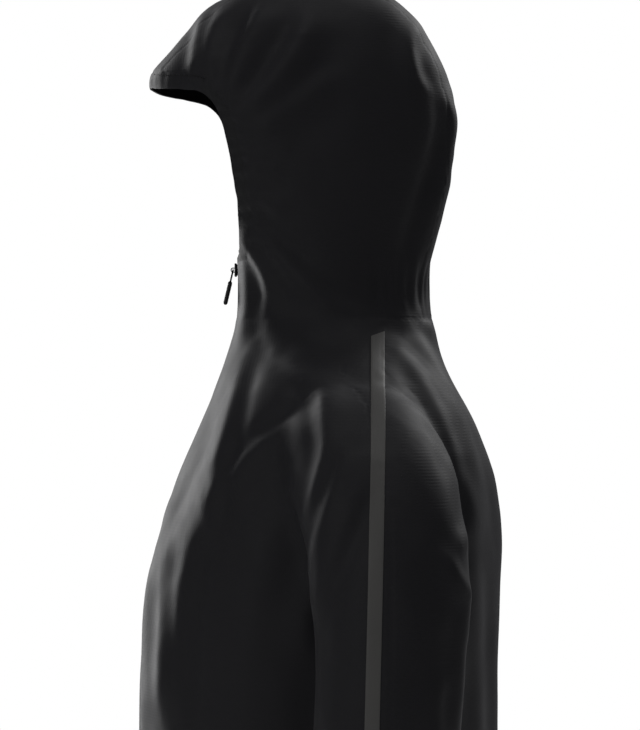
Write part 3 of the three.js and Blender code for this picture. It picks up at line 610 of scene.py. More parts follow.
def settle(co, number, kinds):
    """A border point moved onto the line that its seam follows, where that line has a simple rule."""
    x, y, z = co[number]
    names = {LABELS[k] for k in kinds}
    if "open" in names and z > CHIN - 0.004 and y < 0.02:
        distance, (line_y, line_z) = nearest_on_line(y, z, FACE_LINE)
        if distance < 0.008:
            co[number, 1:] = line_y, line_z
            return
    for plane, axis, reach in ((NECK, 2, 0.0035), (HEM_TOP, 2, 0.0035)):
        if abs(z - plane) < reach and not any(n.startswith("sleeve") for n in names):
            co[number, axis] = plane
    if "open" in names and y < 0 and z < CHIN and abs(abs(x) - ZIP_HALF) < 0.004:
        co[number, 0] = math.copysign(ZIP_HALF, x)
    if "open" in names and z < SLOT_HIGH + 0.005 and abs(x) > 0.05 and y < 0:
        origin, across = ZIP_FRAMES["left_pocket" if x > 0 else "right_pocket"]
        beside = (x - origin.x) * across.x + (y - origin.y) * across.y
        edge = math.copysign(SLOT_HALF, beside)
        if abs(abs(beside) - SLOT_HALF) < 0.003:
            co[number, 0] += (edge - beside) * across.x
            co[number, 1] += (edge - beside) * across.y
        for end in (SLOT_LOW, SLOT_HIGH):
            if abs(z - end) < 0.003:
                co[number, 2] = end
    if "hood_centre" in names and abs(abs(x) - HOOD_STRIP) < 0.004:
        co[number, 0] = math.copysign(HOOD_STRIP, x)
    if "back" in names and names & {"front_left", "front_right"} and abs(y - SIDE_SEAM) < 0.004:
        co[number, 1] = SIDE_SEAM


def even_borders(mesh, label, faces_of):
    """Draws the panels' borders out into even lines that stay on the form."""
    tree = BVHTree.FromPolygons([v.co for v in mesh.vertices], [p.vertices for p in mesh.polygons])
    beside, kinds = {}, {}
    for (a, b), (f, g) in faces_of.items():
        if label[f] == label[g]:
            continue
        for one, other in ((a, b), (b, a)):
            beside.setdefault(one, []).append(other)
            kinds.setdefault(one, set()).update((label[f], label[g]))
    co = coords(mesh)
    order = sorted(beside)
    for _ in range(24):
        fresh = {n: co[n] * 0.5 + 0.5 * co[beside[n]].mean(0) for n in order if len(beside[n]) == 2}
        for number, place in fresh.items():
            co[number] = place
    for number in order:
        found = tree.find_nearest(Vector(co[number]))
        if found[0] is not None:
            co[number] = found[0]
        settle(co, number, kinds[number])
    fixed = np.zeros(len(co), bool)
    fixed[order] = True
    for _ in range(4):
        moved = relaxed(mesh, co, 1, 0.35)
        co = np.where(fixed[:, None], co, moved)
    set_coords(mesh, co)


def calm(co):
    """How far the cloth may leave its plain form: little beside zips, hem locks and cuffs."""
    y, z = co[:, 1], co[:, 2]
    x = np.abs(co[:, 0])
    free = np.ones(len(co))
    front = (y < 0) & (z < CHIN + 0.01)
    free = np.where(front, np.minimum(free, 0.1 + 0.9 * smoothstep(0.010, 0.045, x)), free)
    origin, across = ZIP_FRAMES["left_pocket"]
    beside = np.abs((x - origin.x) * across.x + (y - origin.y) * across.y)
    above = np.maximum(np.maximum(SLOT_LOW - z, z - SLOT_HIGH), 0)
    away = np.hypot(np.maximum(beside - SLOT_HALF, 0), above)
    free = np.where(y < 0, np.minimum(free, 0.08 + 0.92 * smoothstep(0.004, 0.045, away)), free)
    lock = LOCK_PLACE["left"]
    away = np.sqrt((x - lock.x) ** 2 + (y - lock.y) ** 2 + (z - lock.z) ** 2)
    free = np.minimum(free, 0.1 + 0.9 * smoothstep(0.012, 0.045, away))
    cuff = (x > 0.2) & (z < CUFF_HIGH.z + 0.06)
    return np.where(cuff, np.minimum(free, smoothstep(CUFF_HIGH.z, CUFF_HIGH.z + 0.06, z)), free)


CLOTH_FRAMES = 12
CLOTH_SLACK = 0.016
CLOTH_HOLD = 0.75

form = whole_form()
points, facing = coords(form.data), normals(form.data)
freedom = calm(points)[:, None]
shaped = points + facing * fold_height(points, facing)[:, None] * freedom
set_coords(form.data, relaxed(form.data, shaped, 2, 0.5))
plain = coords(form.data)
relax_cloth(form, CLOTH_FRAMES, CLOTH_SLACK, CLOTH_HOLD)
set_coords(form.data, plain + (coords(form.data) - plain) * freedom)
label, faces_of = steady_labels(form.data, face_labels(face_centres(form.data)))
even_borders(form.data, label, faces_of)
for _ in LABELS:
    form.data.materials.append(None)
form.data.polygons.foreach_set("material_index", label.astype(np.int32))
finer = form.modifiers.new("finer", "SUBSURF")
finer.levels = finer.render_levels = 1
baked(form)


# ---- fine detail on the finer form ----

# Gathers: spacing and height of the puckers, height of the nape's folds, and how far its elastic draws in.
PUCKER_PITCH = 0.0115
PUCKER_HEIGHT = 0.0007
NAPE_FOLD = 0.0005
NAPE_DRAW = 0.0010


def gathers(co, no):
    """Small puckers that run in from the elastic of the face opening and of the nape."""
    y, z = co[:, 1], co[:, 2]
    signed, share = polyline_offset(y, z, FACE_LINE)
    distance = np.abs(signed)
    length = sum(math.dist(a, b) for a, b in zip(FACE_LINE, FACE_LINE[1:]))
    along = share * length
    side = np.sign(co[:, 0])
    wander = 1.3 * np.sin(along * 61 + side) + 0.9 * np.sin(along * 143 + 2.1 * side)
    ripple = np.sin(2 * math.pi * along / PUCKER_PITCH + wander)
    ripple = np.sign(ripple) * np.abs(ripple) ** 0.8
    reach = 0.013 + 0.010 * np.sin(along * 87 + 0.7 * side) ** 2
    near = np.exp(-((distance / reach) ** 2)) * (z > CHIN - 0.012) * (y < 0.02)
    sides = smoothstep(0.25, 0.7, np.abs(no[:, 0]))
    lift = PUCKER_HEIGHT * ripple * near * (0.25 + 0.75 * sides) * smoothstep(-0.108, -0.086, y)
    nape_low, nape_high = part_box("nape_elastic")
    level = (nape_low.z + nape_high.z) / 2
    band = np.exp(-(((z - level) / 0.017) ** 2)) * smoothstep(0.02, 0.05, y)
    turn = np.arctan2(co[:, 1], co[:, 0])
    folds = np.sin(turn * 46 + 1.5 * np.sin(turn * 9)) + 0.8 * np.sin(turn * 29 + 2.0 * np.sin(turn * 5))
    lift += NAPE_FOLD * folds * band
    lift -= NAPE_DRAW * band
    return lift


def seam_grooves(mesh, label_of_face):
    """Borders that are sewn seams lie a little lower than the cloth beside them."""
    sewn = {"hood_centre", "hood_left", "hood_right", "brim", "binding_left", "binding_right"}
    low = np.zeros(len(mesh.vertices))
    first = {}
    for polygon, kind in zip(mesh.polygons, label_of_face):
        name = LABELS[kind]
        for number in polygon.vertices:
            other = first.setdefault(number, name)
            if other == name or "open" in (other, name):
                continue
            pair = {other, name}
            if pair <= sewn or all(n.startswith("sleeve") for n in pair) or "hem_band" in pair:
                low[number] = 0.00045
            elif "back" in pair and not any(n.startswith("sleeve") for n in pair):
                low[number] = 0.0003
    return low


RIM_PASSES = 16


def even_rim(mesh, label_of_face):
    """The cut edge of the face opening runs evenly, without the steps of the mesh."""
    sides = {}
    for polygon, kind in zip(mesh.polygons, label_of_face):
        for key in polygon.edge_keys:
            sides.setdefault(key, set()).add(LABELS[kind] == "open")
    beside = {}
    for (a, b), found in sides.items():
        if len(found) == 2:
            beside.setdefault(a, []).append(b)
            beside.setdefault(b, []).append(a)
    co = coords(mesh)
    order = [n for n, near in beside.items() if len(near) == 2 and co[n, 2] > CHIN + 0.004]
    if not order:
        raise ValueError("the face opening has no cut edge")
    before = np.array([beside[n][0] for n in order])
    after = np.array([beside[n][1] for n in order])
    order = np.array(order)
    for _ in range(RIM_PASSES):
        co[order] = 0.5 * co[order] + 0.25 * (co[before] + co[after])
    set_coords(mesh, co)


face_kind = np.empty(len(form.data.polygons), np.int32)
form.data.polygons.foreach_get("material_index", face_kind)
points, facing = coords(form.data), normals(form.data)
sunk = seam_grooves(form.data, face_kind)
set_coords(form.data, points + facing * (gathers(points, facing) - sunk)[:, None])
even_rim(form.data, face_kind)
SURFACE = BVHTree.FromPolygons([v.co for v in form.data.vertices], [p.vertices for p in form.data.polygons])


# ---- materials ----

def new_material(name):
    material = bpy.data.materials.new(name)
    material.use_nodes = True
    tree = material.node_tree
    return material, tree, tree.nodes["Principled BSDF"]


def noise(tree, place, scale, detail=3.0):
    node = tree.nodes.new("ShaderNodeTexNoise")
    node.inputs["Scale"].default_value = scale
    node.inputs["Detail"].default_value = detail
    tree.links.new(place, node.inputs["Vector"])
    return node.outputs["Fac"]


def threads(tree, place, direction, scale, bend=0.3):
    node = tree.nodes.new("ShaderNodeTexWave")
    node.bands_direction = direction
    node.inputs["Scale"].default_value = scale
    node.inputs["Distortion"].default_value = bend
    tree.links.new(place, node.inputs["Vector"])
    return node.outputs["Fac"]


def combine(tree, operation, a, b, c=None):
    node = tree.nodes.new("ShaderNodeMath")
    node.operation = operation
    for slot, value in zip(node.inputs, (a, b, c)):
        if value is None:
            continue
        if isinstance(value, (int, float)):
            slot.default_value = value
        else:
            tree.links.new(value, slot)
    return node.outputs[0]


def toned(tree, shader, factor, colour, spread):
    node = tree.nodes.new("ShaderNodeMix")
    node.data_type = "RGBA"
    node.inputs[6].default_value = (*[c * (1 - spread) for c in colour], 1)
    node.inputs[7].default_value = (*[c * (1 + spread) for c in colour], 1)
    tree.links.new(factor, node.inputs["Factor"])
    tree.links.new(node.outputs[2], shader.inputs["Base Color"])


def roughened(tree, shader, factor, low, high):
    node = tree.nodes.new("ShaderNodeMapRange")
    node.inputs["To Min"].default_value = low
    node.inputs["To Max"].default_value = high
    tree.links.new(factor, node.inputs["Value"])
    tree.links.new(node.outputs["Result"], shader.inputs["Roughness"])


def bumped(tree, shader, height, strength, distance):
    node = tree.nodes.new("ShaderNodeBump")
    node.inputs["Strength"].default_value = strength
    node.inputs["Distance"].default_value = distance
    tree.links.new(height, node.inputs["Height"])
    tree.links.new(node.outputs["Normal"], shader.inputs["Normal"])


def finish(name, colour, rough, spread=0.2, weave=0.0, grain=0.0, strength=0.25, sheen=0.0, specular=0.4):
    """A finish with uneven tone and roughness, and a weave of crossed threads or a fine grain in relief."""
    material, tree, shader = new_material(name)
    place = tree.nodes.new("ShaderNodeTexCoord").outputs["Object"]
    cloud = noise(tree, place, 38, 6)
    speck = noise(tree, place, 900, 2)
    mixed = combine(tree, "MULTIPLY_ADD", cloud, 0.5, combine(tree, "MULTIPLY", speck, 0.5))
    toned(tree, shader, mixed, colour, spread)
    roughened(tree, shader, cloud, rough - 0.06, rough + 0.08)
    height = speck
    if weave:
        upright = threads(tree, place, "Z", weave)
        slanted = threads(tree, place, "DIAGONAL", weave)
        crossed = combine(tree, "MULTIPLY", upright, slanted)
        height = combine(tree, "MULTIPLY_ADD", speck, 0.6, crossed)
    if grain:
        height = noise(tree, place, grain, 4)
    bumped(tree, shader, height, strength, 0.0002)
    shader.inputs["Sheen Weight"].default_value = sheen
    shader.inputs["Sheen Roughness"].default_value = 0.35
    shader.inputs["Sheen Tint"].default_value = (0.75, 0.76, 0.85, 1)
    shader.inputs["Specular IOR Level"].default_value = specular
    return material


SHELL = finish("shell_fabric", (0.0148, 0.0144, 0.0176), 0.62, 0.18, weave=130, sheen=0.04, specular=0.30)
LINING = finish("lining_fabric", (0.020, 0.020, 0.023), 0.78, 0.2, weave=210, strength=0.4)
BINDING = finish("elastic_binding", (0.012, 0.012, 0.014), 0.72, 0.2, weave=320, strength=0.5)
STRIP = finish("reflective_strip", (0.105, 0.103, 0.100), 0.50, 0.10, grain=2600, strength=0.35, specular=0.3)
TAPE = finish("zip_tape_film", (0.009, 0.009, 0.010), 0.42, 0.15, grain=1400, strength=0.12)
MOULDED = finish("moulded_plastic", (0.011, 0.011, 0.012), 0.36, 0.15, grain=700, strength=0.18, specular=0.5)
CORD = finish("braided_cord", (0.010, 0.010, 0.011), 0.80, 0.3, weave=520, strength=0.8)
HOOKS = finish("hook_and_loop", (0.013, 0.013, 0.014), 0.90, 0.35, grain=1900, strength=1.0, sheen=0.2)
FINISHES = {
    "shell_fabric": SHELL, "lining_fabric": LINING, "reflective_strip": STRIP, "zip_tape_film": TAPE,
    "moulded_plastic": MOULDED, "braided_cord": CORD, "hook_and_loop": HOOKS,
}


# ---- panels ----

PANEL_FINISH = {"binding_left": BINDING, "binding_right": BINDING}
PANEL_WALL = {"brim": 0.0016, "binding_left": 0.0014, "binding_right": 0.0014, "hem_band": 0.0012}
STANDS_FOR = {
    "front_left": ["front_panel_left"],
    "front_right": ["front_panel_right"],
    "back": ["back_panel"],
    "sleeve_front_left": ["sleeve_front_left"],
    "sleeve_front_right": ["sleeve_front_right"],
    "sleeve_back_left": ["sleeve_back_left"],
    "sleeve_back_right": ["sleeve_back_right"],
    "hood_left": ["hood_side_left"],
    "hood_right": ["hood_side_right"],
    "hood_centre": ["hood_centre_panel"],
    "brim": ["hood_brim"],
    "binding_left": ["face_binding_left"],
    "binding_right": ["face_binding_right"],
    "hem_band": ["hem_band"],
}


def dressed(obj, material, slot, body="jacket"):
    obj.data.materials.clear()
    obj.data.materials.append(material)
    obj.data.polygons.foreach_set("use_smooth", [True] * len(obj.data.polygons))
    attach(obj, body)
    return obj


def thickened(obj, wall):
    """Gives the cloth its wall; its outer face keeps the shading of the whole form across the seams."""
    outer = np.empty(len(obj.data.vertices) * 3)
    obj.data.attributes["whole_normal"].data.foreach_get("vector", outer)
    outer = outer.reshape(-1, 3)
    count, faces = len(outer), len(obj.data.polygons)
    solid = obj.modifiers.new("thickness", "SOLIDIFY")
    solid.thickness = wall
    solid.offset = -1
    baked(obj)
    mesh = obj.data
    loops = np.empty(len(mesh.loops), np.int32)
    mesh.loops.foreach_get("vertex_index", loops)
    wanted = np.where((loops < count)[:, None], outer[loops % count], -outer[loops % count])
    starts = np.empty(len(mesh.polygons), np.int32)
    mesh.polygons.foreach_get("loop_start", starts)
    if len(mesh.polygons) > 2 * faces:
        wanted[starts[2 * faces]:] = 0
    mesh.polygons.foreach_set("use_smooth", [True] * len(mesh.polygons))
    mesh.normals_split_custom_set(wanted.tolist())


def separate_panels():
    mesh = form.data
    kept = mesh.attributes.new("whole_normal", "FLOAT_VECTOR", "POINT")
    kept.data.foreach_set("vector", normals(mesh).ravel())
    which = np.empty(len(mesh.polygons), np.int32)
    mesh.polygons.foreach_get("material_index", which)
    mesh.attributes.new("panel_kind", "INT", "FACE").data.foreach_set("value", which)
    bpy.ops.object.select_all(action="DESELECT")
    form.select_set(True)
    bpy.context.view_layer.objects.active = form
    before = set(bpy.data.objects)
    bpy.ops.mesh.separate(type="MATERIAL")
    found = {}
    for obj in [form, *sorted(set(bpy.data.objects) - before, key=lambda o: o.name)]:
        kind = LABELS[obj.data.attributes["panel_kind"].data[0].value]
        if kind == "open":
            bpy.data.objects.remove(obj)
            continue
        obj.name = f"shell_{kind}"
        found[kind] = obj
    if set(found) != set(STANDS_FOR):
        raise ValueError(f"panels missing or left over: {sorted(set(found) ^ set(STANDS_FOR))}")
    return found


panels = separate_panels()
for kind, panel in panels.items():
    thickened(panel, PANEL_WALL.get(kind, 0.0009))
    dressed(panel, PANEL_FINISH.get(kind, SHELL), "lining_fabric" if kind in PANEL_FINISH else "shell_fabric")
    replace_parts(panel, *STANDS_FOR[kind])


# ---- ribbons and trims laid on the form ----

def on_surface(start, direction, lift):
    """Where a line meets the form, lifted off it along its outward direction."""
    place, normal, _, _ = SURFACE.ray_cast(Vector(start), Vector(direction))
    if place is None:
        place, normal, _, _ = SURFACE.find_nearest(Vector(start))
    if normal.dot(Vector(direction)) > 0:
        normal = -normal
    return place + normal * lift


def sheet_piece(name, u_count, v_count, place, wall, material, slot, replaced=(), wrap=False, body="jacket"):
    bm = grid(u_count, v_count, place, wrap)
    bmesh.ops.recalc_face_normals(bm, faces=bm.faces)
    obj = bm_object(name, bm)
    solid = obj.modifiers.new("thickness", "SOLIDIFY")
    solid.thickness = wall
    solid.offset = 0
    edge = obj.modifiers.new("edge", "BEVEL")
    edge.width = wall * 0.3
    edge.segments = 2
    dressed(obj, material, slot, body)
    if replaced:
        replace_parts(obj, *replaced)
    return obj


def reflective_strip(side, name):
    top, low = 0.0178, -0.545
    middle = lambda z: 0.046 + (0.038 - 0.046) * min(1.0, (top - z) / 0.32)

    def place(u, v):
        z = top - v * (top - low)
        slant = 0.004 * (u - 0.5) * max(0.0, 1 - v * 60)
        y = middle(z) + (u - 0.5) * 2 * STRIP_HALF
        return on_surface((side * 0.5, y, z + slant), (-side, 0, 0), 0.0004)

    nodes = [f"shoulder_strip_{name}", f"sleeve_strip_{name}"]
    sheet_piece(f"reflective_strip_{name}", 6, 260, place, 0.0006, STRIP, "reflective_strip", nodes)


def front_band(name, x0, x1, lift, low, high, wall, material, slot, nodes, columns=5, ripple=0.0):
    def place(u, v):
        z = low + v * (high - low)
        wave = ripple * math.sin(z * 90 + u * 3) * math.sin(z * 37)
        return on_surface((x0 + u * (x1 - x0), -0.5, z), (0, 1, 0), lift + wave)

    sheet_piece(name, columns, 220, place, wall, material, slot, nodes)


for side, name in ((1, "left"), (-1, "right")):
    reflective_strip(side, name)
    tape_low, tape_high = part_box(f"zip_tape_{name}")
    inner, outer = sorted((side * 0.0005, side * 0.0112))
    front_band(
        f"front_zip_tape_{name}", inner, outer, -0.0011, tape_low.z, tape_high.z,
        0.0009, TAPE, "zip_tape_film", [f"zip_tape_{name}"],
    )


def tooth_row(name, side, low, high, node):
    """The teeth of one side of the front zip, one small block after another."""
    bm = bmesh.new()
    pitch = 0.0016
    for number in range(int((high - low) / pitch)):
        z = low + (number + (0.5 if side > 0 else 0)) * pitch
        place = on_surface((side * 0.0012, -0.5, z), (0, 1, 0), -0.0026)
        made = bmesh.ops.create_cube(bm, size=1)["verts"]
        bmesh.ops.scale(bm, vec=(0.0024, 0.0014, 0.0008), verts=made)
        bmesh.ops.translate(bm, vec=place, verts=made)
    bmesh.ops.bevel(
        bm, geom=bm.edges[:], offset=0.00018, segments=1, profile=0.5, affect="EDGES", material=-1,
    )
    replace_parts(dressed(bm_object(name, bm), MOULDED, "moulded_plastic"), node)


for side, name in ((1, "left"), (-1, "right")):
    coil_low, coil_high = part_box(f"zip_coil_{name}")
    tooth_row(f"front_zip_teeth_{name}", side, coil_low.z, coil_high.z, f"zip_coil_{name}")
flap_low, flap_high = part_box("storm_flap")
front_band(
    "inner_storm_flap", flap_low.x, flap_high.x, -0.0068, flap_low.z, flap_high.z,
    0.0009, SHELL, "shell_fabric", ["storm_flap"], 9, 0.0005,
)
guard_low, guard_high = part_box("chin_guard")
front_band(
    "soft_chin_guard", guard_low.x, guard_high.x, -0.0088, guard_low.z, guard_high.z,
    0.0016, LINING, "lining_fabric", ["chin_guard"], 6,
)


# ---- zip sliders and pulls ----

def placed(bm, origin, across, name, material, slot, body, node):
    """Moves a piece made in millimetres in its own frame (x across, y inward, z up) to its place."""
    across = Vector((across[0], across[1], 0)).normalized()
    up = Vector((0, 0, 1))
    inward = up.cross(across)
    for vert in bm.verts:
        x, y, z = vert.co / 1000
        vert.co = Vector(origin) + across * x + inward * y + up * z
    bmesh.ops.recalc_face_normals(bm, faces=bm.faces)
    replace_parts(dressed(bm_object(name, bm), material, slot, body), node)


def block(bm, low, high, round_off):
    made = bmesh.ops.create_cube(bm, size=1)["verts"]
    size = [b - a for a, b in zip(low, high)]
    bmesh.ops.scale(bm, vec=size, verts=made)
    bmesh.ops.translate(bm, vec=[(a + b) / 2 for a, b in zip(low, high)], verts=made)
    edges = list({e for v in made for e in v.link_edges})
    bmesh.ops.bevel(
        bm, geom=edges, offset=round_off, segments=3, profile=0.5, affect="EDGES", material=-1,
        clamp_overlap=True,
    )


def slider(reach):
    """Front plate, neck, back plate and the arched eye that the pull's cord runs through."""
    bm = bmesh.new()
    block(bm, (-4, -2.25, -5.5), (4, -0.25, 5.5), 0.7)
    block(bm, (-0.6, -0.6, -4.5), (0.6, reach + 0.4, 4.5), 0.15)
    block(bm, (-3.5, reach, -5.5), (3.5, reach + 2, 5.5), 0.6)
    inner, outer, centre, foot = 1.25, 2.1, -3.4, -2.0
    corners = [(-0.8, foot, inner), (0.8, foot, inner), (0.8, foot, outer), (-0.8, foot, outer)]
    face = bm.faces.new([bm.verts.new(c) for c in corners])
    leg = bmesh.ops.extrude_face_region(bm, geom=[face])["geom"]
    verts = [v for v in leg if isinstance(v, bmesh.types.BMVert)]
    bmesh.ops.translate(bm, vec=(0, centre - foot, 0), verts=verts)
    end = [f for f in leg if isinstance(f, bmesh.types.BMFace)]
    spun = bmesh.ops.spin(
        bm, geom=end, cent=(0, centre, 0), axis=(1, 0, 0), angle=math.pi, steps=14, use_duplicate=False,
    )["geom_last"]
    end = [f for f in spun if isinstance(f, bmesh.types.BMFace)]
    leg = bmesh.ops.extrude_face_region(bm, geom=end)["geom"]
    verts = [v for v in leg if isinstance(v, bmesh.types.BMVert)]
    bmesh.ops.translate(bm, vec=(0, foot - centre, 0), verts=verts)
    return bm


PULL_LOOP = [
    (-2.1, -9.6), (-2.1, -4.5), (-1.8, -0.9), (-1.0, 0),
    (1.0, 0), (1.8, -0.9), (2.1, -4.5), (2.1, -9.6),
]


def pull_cord(tilt, hinge):
    line = rounded(PULL_LOOP, 6)
    last = len(line) - 1

    def place(u, v):
        at = v * last
        i = min(int(at), last - 1)
        x = line[i][0] + (at - i) * (line[i + 1][0] - line[i][0])
        z = line[i][1] + (at - i) * (line[i + 1][1] - line[i][1])
        run = Vector((line[i + 1][0] - line[i][0], 0, line[i + 1][1] - line[i][1])).normalized()
        side = Vector((0, 1, 0)).cross(run)
        turn = 2 * math.pi * u
        radius = 0.66 + 0.04 * math.sin(at * 2.1 + turn * 3)
        point = Vector((x, 0, z)) + (side * math.cos(turn) + Vector((0, 1, 0)) * math.sin(turn)) * radius
        return swung(point, tilt, hinge)

    return capped(grid(12, 84, place, wrap=True))


def swung(point, tilt, hinge):
    """A point of the pull, hung from its hinge and tilted outward."""
    c, s = math.cos(tilt), math.sin(tilt)
    return Vector((point.x, hinge + point.y * c + point.z * s, point.z * c - point.y * s))


def pull_grip(tilt, hinge):
    """A flat moulded grip with rounded ends and shallow finger ridges."""
    def place(u, v):
        turn = 2 * math.pi * u
        c, s = math.cos(turn), math.sin(turn)
        end = min(1.0, math.sqrt(max(0.0, 1 - abs(2 * v - 1) ** 9)) + 0.06)
        ridge = 1 - 0.05 * (0.5 + 0.5 * math.cos(v * 2 * math.pi * 8)) * (0.15 < v < 0.85)
        x = 3.0 * end * math.copysign(abs(c) ** 0.55, c)
        y = 1.8 * end * ridge * math.copysign(abs(s) ** 0.6, s)
        return swung(Vector((x, y, -9.35 - 20 * v)), tilt, hinge)

    return capped(grid(32, 64, place, wrap=True))


def zip_set(label, node, slider_body, pull_body, tilt, reach):
    origin, across = ZIP_FRAMES[label]
    hinge = -HINGE_REACH * 1000
    placed(
        slider(reach), origin, across, f"{label}_zip_runner", MOULDED, "moulded_plastic",
        slider_body, f"{node}_slider",
    )
    placed(
        pull_cord(tilt, hinge), origin, across, f"{label}_zip_pull_loop", CORD, "braided_cord",
        pull_body, f"{node}_pull_cord",
    )
    placed(
        pull_grip(tilt, hinge), origin, across, f"{label}_zip_pull_tab", MOULDED, "moulded_plastic",
        pull_body, f"{node}_pull_grip",
    )


zip_set("front", "front_zip", "front_zip_slider", "front_zip_pull", 0.23, 3.6)
for name in ("left", "right"):
    zip_set(
        f"{name}_pocket", f"pocket_zip_{name}", f"pocket_zip_slider_{name}",
        f"pocket_zip_pull_{name}", 0.12, 1.65,
    )


# ---- pockets ----

def pocket(side, name):
    origin, across = ZIP_FRAMES[f"{name}_pocket"]
    inward = Vector((0, 0, 1)).cross(across)

    def half_tape(sign):
        def place(u, v):
            beside = sign * (0.0005 + u * (SLOT_HALF + 0.0006))
            z = SLOT_LOW - 0.001 + v * (SLOT_HIGH - SLOT_LOW + 0.002)
            start = Vector((origin.x, origin.y, z)) + across * beside - inward * 0.1
            return on_surface(start, inward, -0.0012)
        return place

    nodes = [f"pocket_tape_{name}"]
    sheet_piece(
        f"pocket_zip_tape_{name}_inner", 4, 80, half_tape(-side), 0.0008, TAPE, "zip_tape_film", nodes,
    )
    sheet_piece(f"pocket_zip_tape_{name}_outer", 4, 80, half_tape(side), 0.0008, TAPE, "zip_tape_film")
    low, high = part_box(f"pocket_bag_{name}")

    def bag(u, v):
        x = low.x + u * (high.x - low.x)
        z = low.z + v * (high.z - low.z)
        sag = 0.0007 * math.sin(9 * u + 2 * math.sin(7 * v)) * math.sin(math.pi * u) * math.sin(math.pi * v)
        return on_surface((x, -0.5, z), (0, 1, 0), -0.0064 + sag)

    sheet_piece(f"pocket_lining_{name}", 40, 60, bag, 0.0010, LINING, "lining_fabric", [f"pocket_bag_{name}"])


for side, name in ((1, "left"), (-1, "right")):
    pocket(side, name)


# ---- cuffs ----

CUFF_MOUTH, CUFF_TOP, CUFF_LENGTH = 0.041, 0.045, 0.060
CUFF_UP = Vector(JOINTS["cuff_tab_peel_left"]["axis"])
CUFF_BACK = Vector((0, CUFF_UP.z, -CUFF_UP.y))


def cuff_point(side, angle, height, lift):
    low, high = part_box("cuff_left")
    centre = Vector(((low.x + high.x) / 2, low.y + CUFF_MOUTH * CUFF_UP.z, low.z + CUFF_MOUTH * CUFF_UP.y))
    radius = CUFF_MOUTH + (CUFF_TOP - CUFF_MOUTH) * height / CUFF_LENGTH + lift
    point = centre + CUFF_UP * height - CUFF_BACK * radius * math.sin(angle)
    point.x = side * (centre.x + radius * math.cos(angle))
    return point


def cuff(side, name):
    def cloth(u, v):
        angle = 2 * math.pi * u
        quiet = 0.5 - 0.5 * math.cos(angle)
        fold = 0.0011 * math.sin(13 * angle + 1.6 * math.sin(3 * angle)) * quiet * (0.35 + 0.65 * v)
        return cuff_point(side, angle, v * CUFF_LENGTH, -0.0011 + fold)

    sheet_piece(
        f"cuff_cloth_{name}", 160, 30, cloth, 0.0020, SHELL, "shell_fabric", [f"cuff_{name}"], wrap=True,
    )

    def plate(start, end, low, high, lift, corner):
        def place(u, v):
            edge = min(u, 1 - u) * (end - start) * CUFF_TOP
            pinch = corner * (1 - min(1.0, edge / corner)) ** 2 if corner else 0
            middle = (low + high) / 2
            height = middle + (v - 0.5) * (high - low - 2 * pinch)
            return cuff_point(side, start + u * (end - start), height, lift)
        return place

    sheet_piece(
        f"cuff_closure_{name}", 60, 14, plate(-1.15, 0.95, 0.017, 0.045, 0.0048, 0.006), 0.0018,
        MOULDED, "moulded_plastic", [f"cuff_tab_{name}"], body=f"cuff_tab_{name}",
    )
    sheet_piece(
        f"cuff_loop_patch_{name}", 60, 10, plate(-0.85, 1.30, 0.020, 0.042, 0.0011, 0.002), 0.0009,
        HOOKS, "hook_and_loop", [f"cuff_loop_pad_{name}"],
    )
    sheet_piece(
        f"cuff_hook_patch_{name}", 24, 10, plate(0.20, 0.87, 0.020, 0.042, 0.0027, 0.002), 0.0009,
        HOOKS, "hook_and_loop", [f"cuff_hook_pad_{name}"], body=f"cuff_tab_{name}",
    )


for side, name in ((1, "left"), (-1, "right")):
    cuff(side, name)


# ---- hem ----

def ring_point(turn, z, inset):
    """A point inside the body's wall at a turn round the middle, that far in from the surface."""
    direction = Vector((math.cos(turn), math.sin(turn), 0))
    return on_surface((0, 0, z), direction, inset)


FRONT_TURN = -math.pi / 2
GAP_TURN = 0.068


def round_hem(u):
    return FRONT_TURN + GAP_TURN + u * (2 * math.pi - 2 * GAP_TURN)


def facing_point(u, v):
    level = min(1.0, v / 0.82)
    ledge = smoothstep(0.82, 1.0, v)
    return ring_point(round_hem(u), HEM + 0.0006 + level * (HEM_TOP - HEM - 0.0014), 0.0062 - 0.0042 * ledge)


sheet_piece("inner_hem_facing", 260, 12, facing_point, 0.0008, LINING, "lining_fabric", ["hem_facing"])


def tube(name, path, radius, sides, material, slot, node):
    """A round cord along a path of points, with flat capped ends."""
    last = len(path) - 1

    def place(u, v):
        at = v * last
        i = min(int(at), last - 1)
        point = path[i].lerp(path[i + 1], at - i)
        run = (path[min(i + 2, last)] - path[max(i - 1, 0)]).normalized()
        side = Vector((0, 0, 1)).cross(run).normalized()
        turn = 2 * math.pi * u
        thick = radius * (1 + 0.04 * math.sin(at * 3 + turn * 4))
        return point + (side * math.cos(turn) + side.cross(run) * math.sin(turn)) * thick

    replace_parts(dressed(bm_object(name, capped(grid(sides, last, place, wrap=True))), material, slot), node)


cord_path = [ring_point(round_hem(0.012 + 0.976 * k / 240), HEM + 0.012, 0.00385) for k in range(241)]
tube("hem_cord_in_channel", cord_path, 0.00122, 12, CORD, "braided_cord", "hem_drawcord")


def lathe(profile, steps=48):
    """A round piece: radius and height pairs turned about the z axis."""
    bm = bmesh.new()
    verts = [bm.verts.new((r, 0, h)) for r, h in profile]
    edges = [bm.edges.new(pair) for pair in zip(verts, verts[1:])]
    bmesh.ops.spin(
        bm, geom=verts + edges, cent=(0, 0, 0), axis=(0, 0, 1), angle=2 * math.pi, steps=steps,
        use_merge=True,
    )
    bmesh.ops.remove_doubles(bm, verts=bm.verts, dist=1e-5)
    bmesh.ops.recalc_face_normals(bm, faces=bm.faces)
    return bm


def facing_out(bm, place, outward):
    """Turns a piece made along z (in millimetres) to face outward at its place."""
    turn = Vector((0, 0, 1)).rotation_difference(outward)
    for vert in bm.verts:
        vert.co = place + turn @ (vert.co / 1000)
    return bm


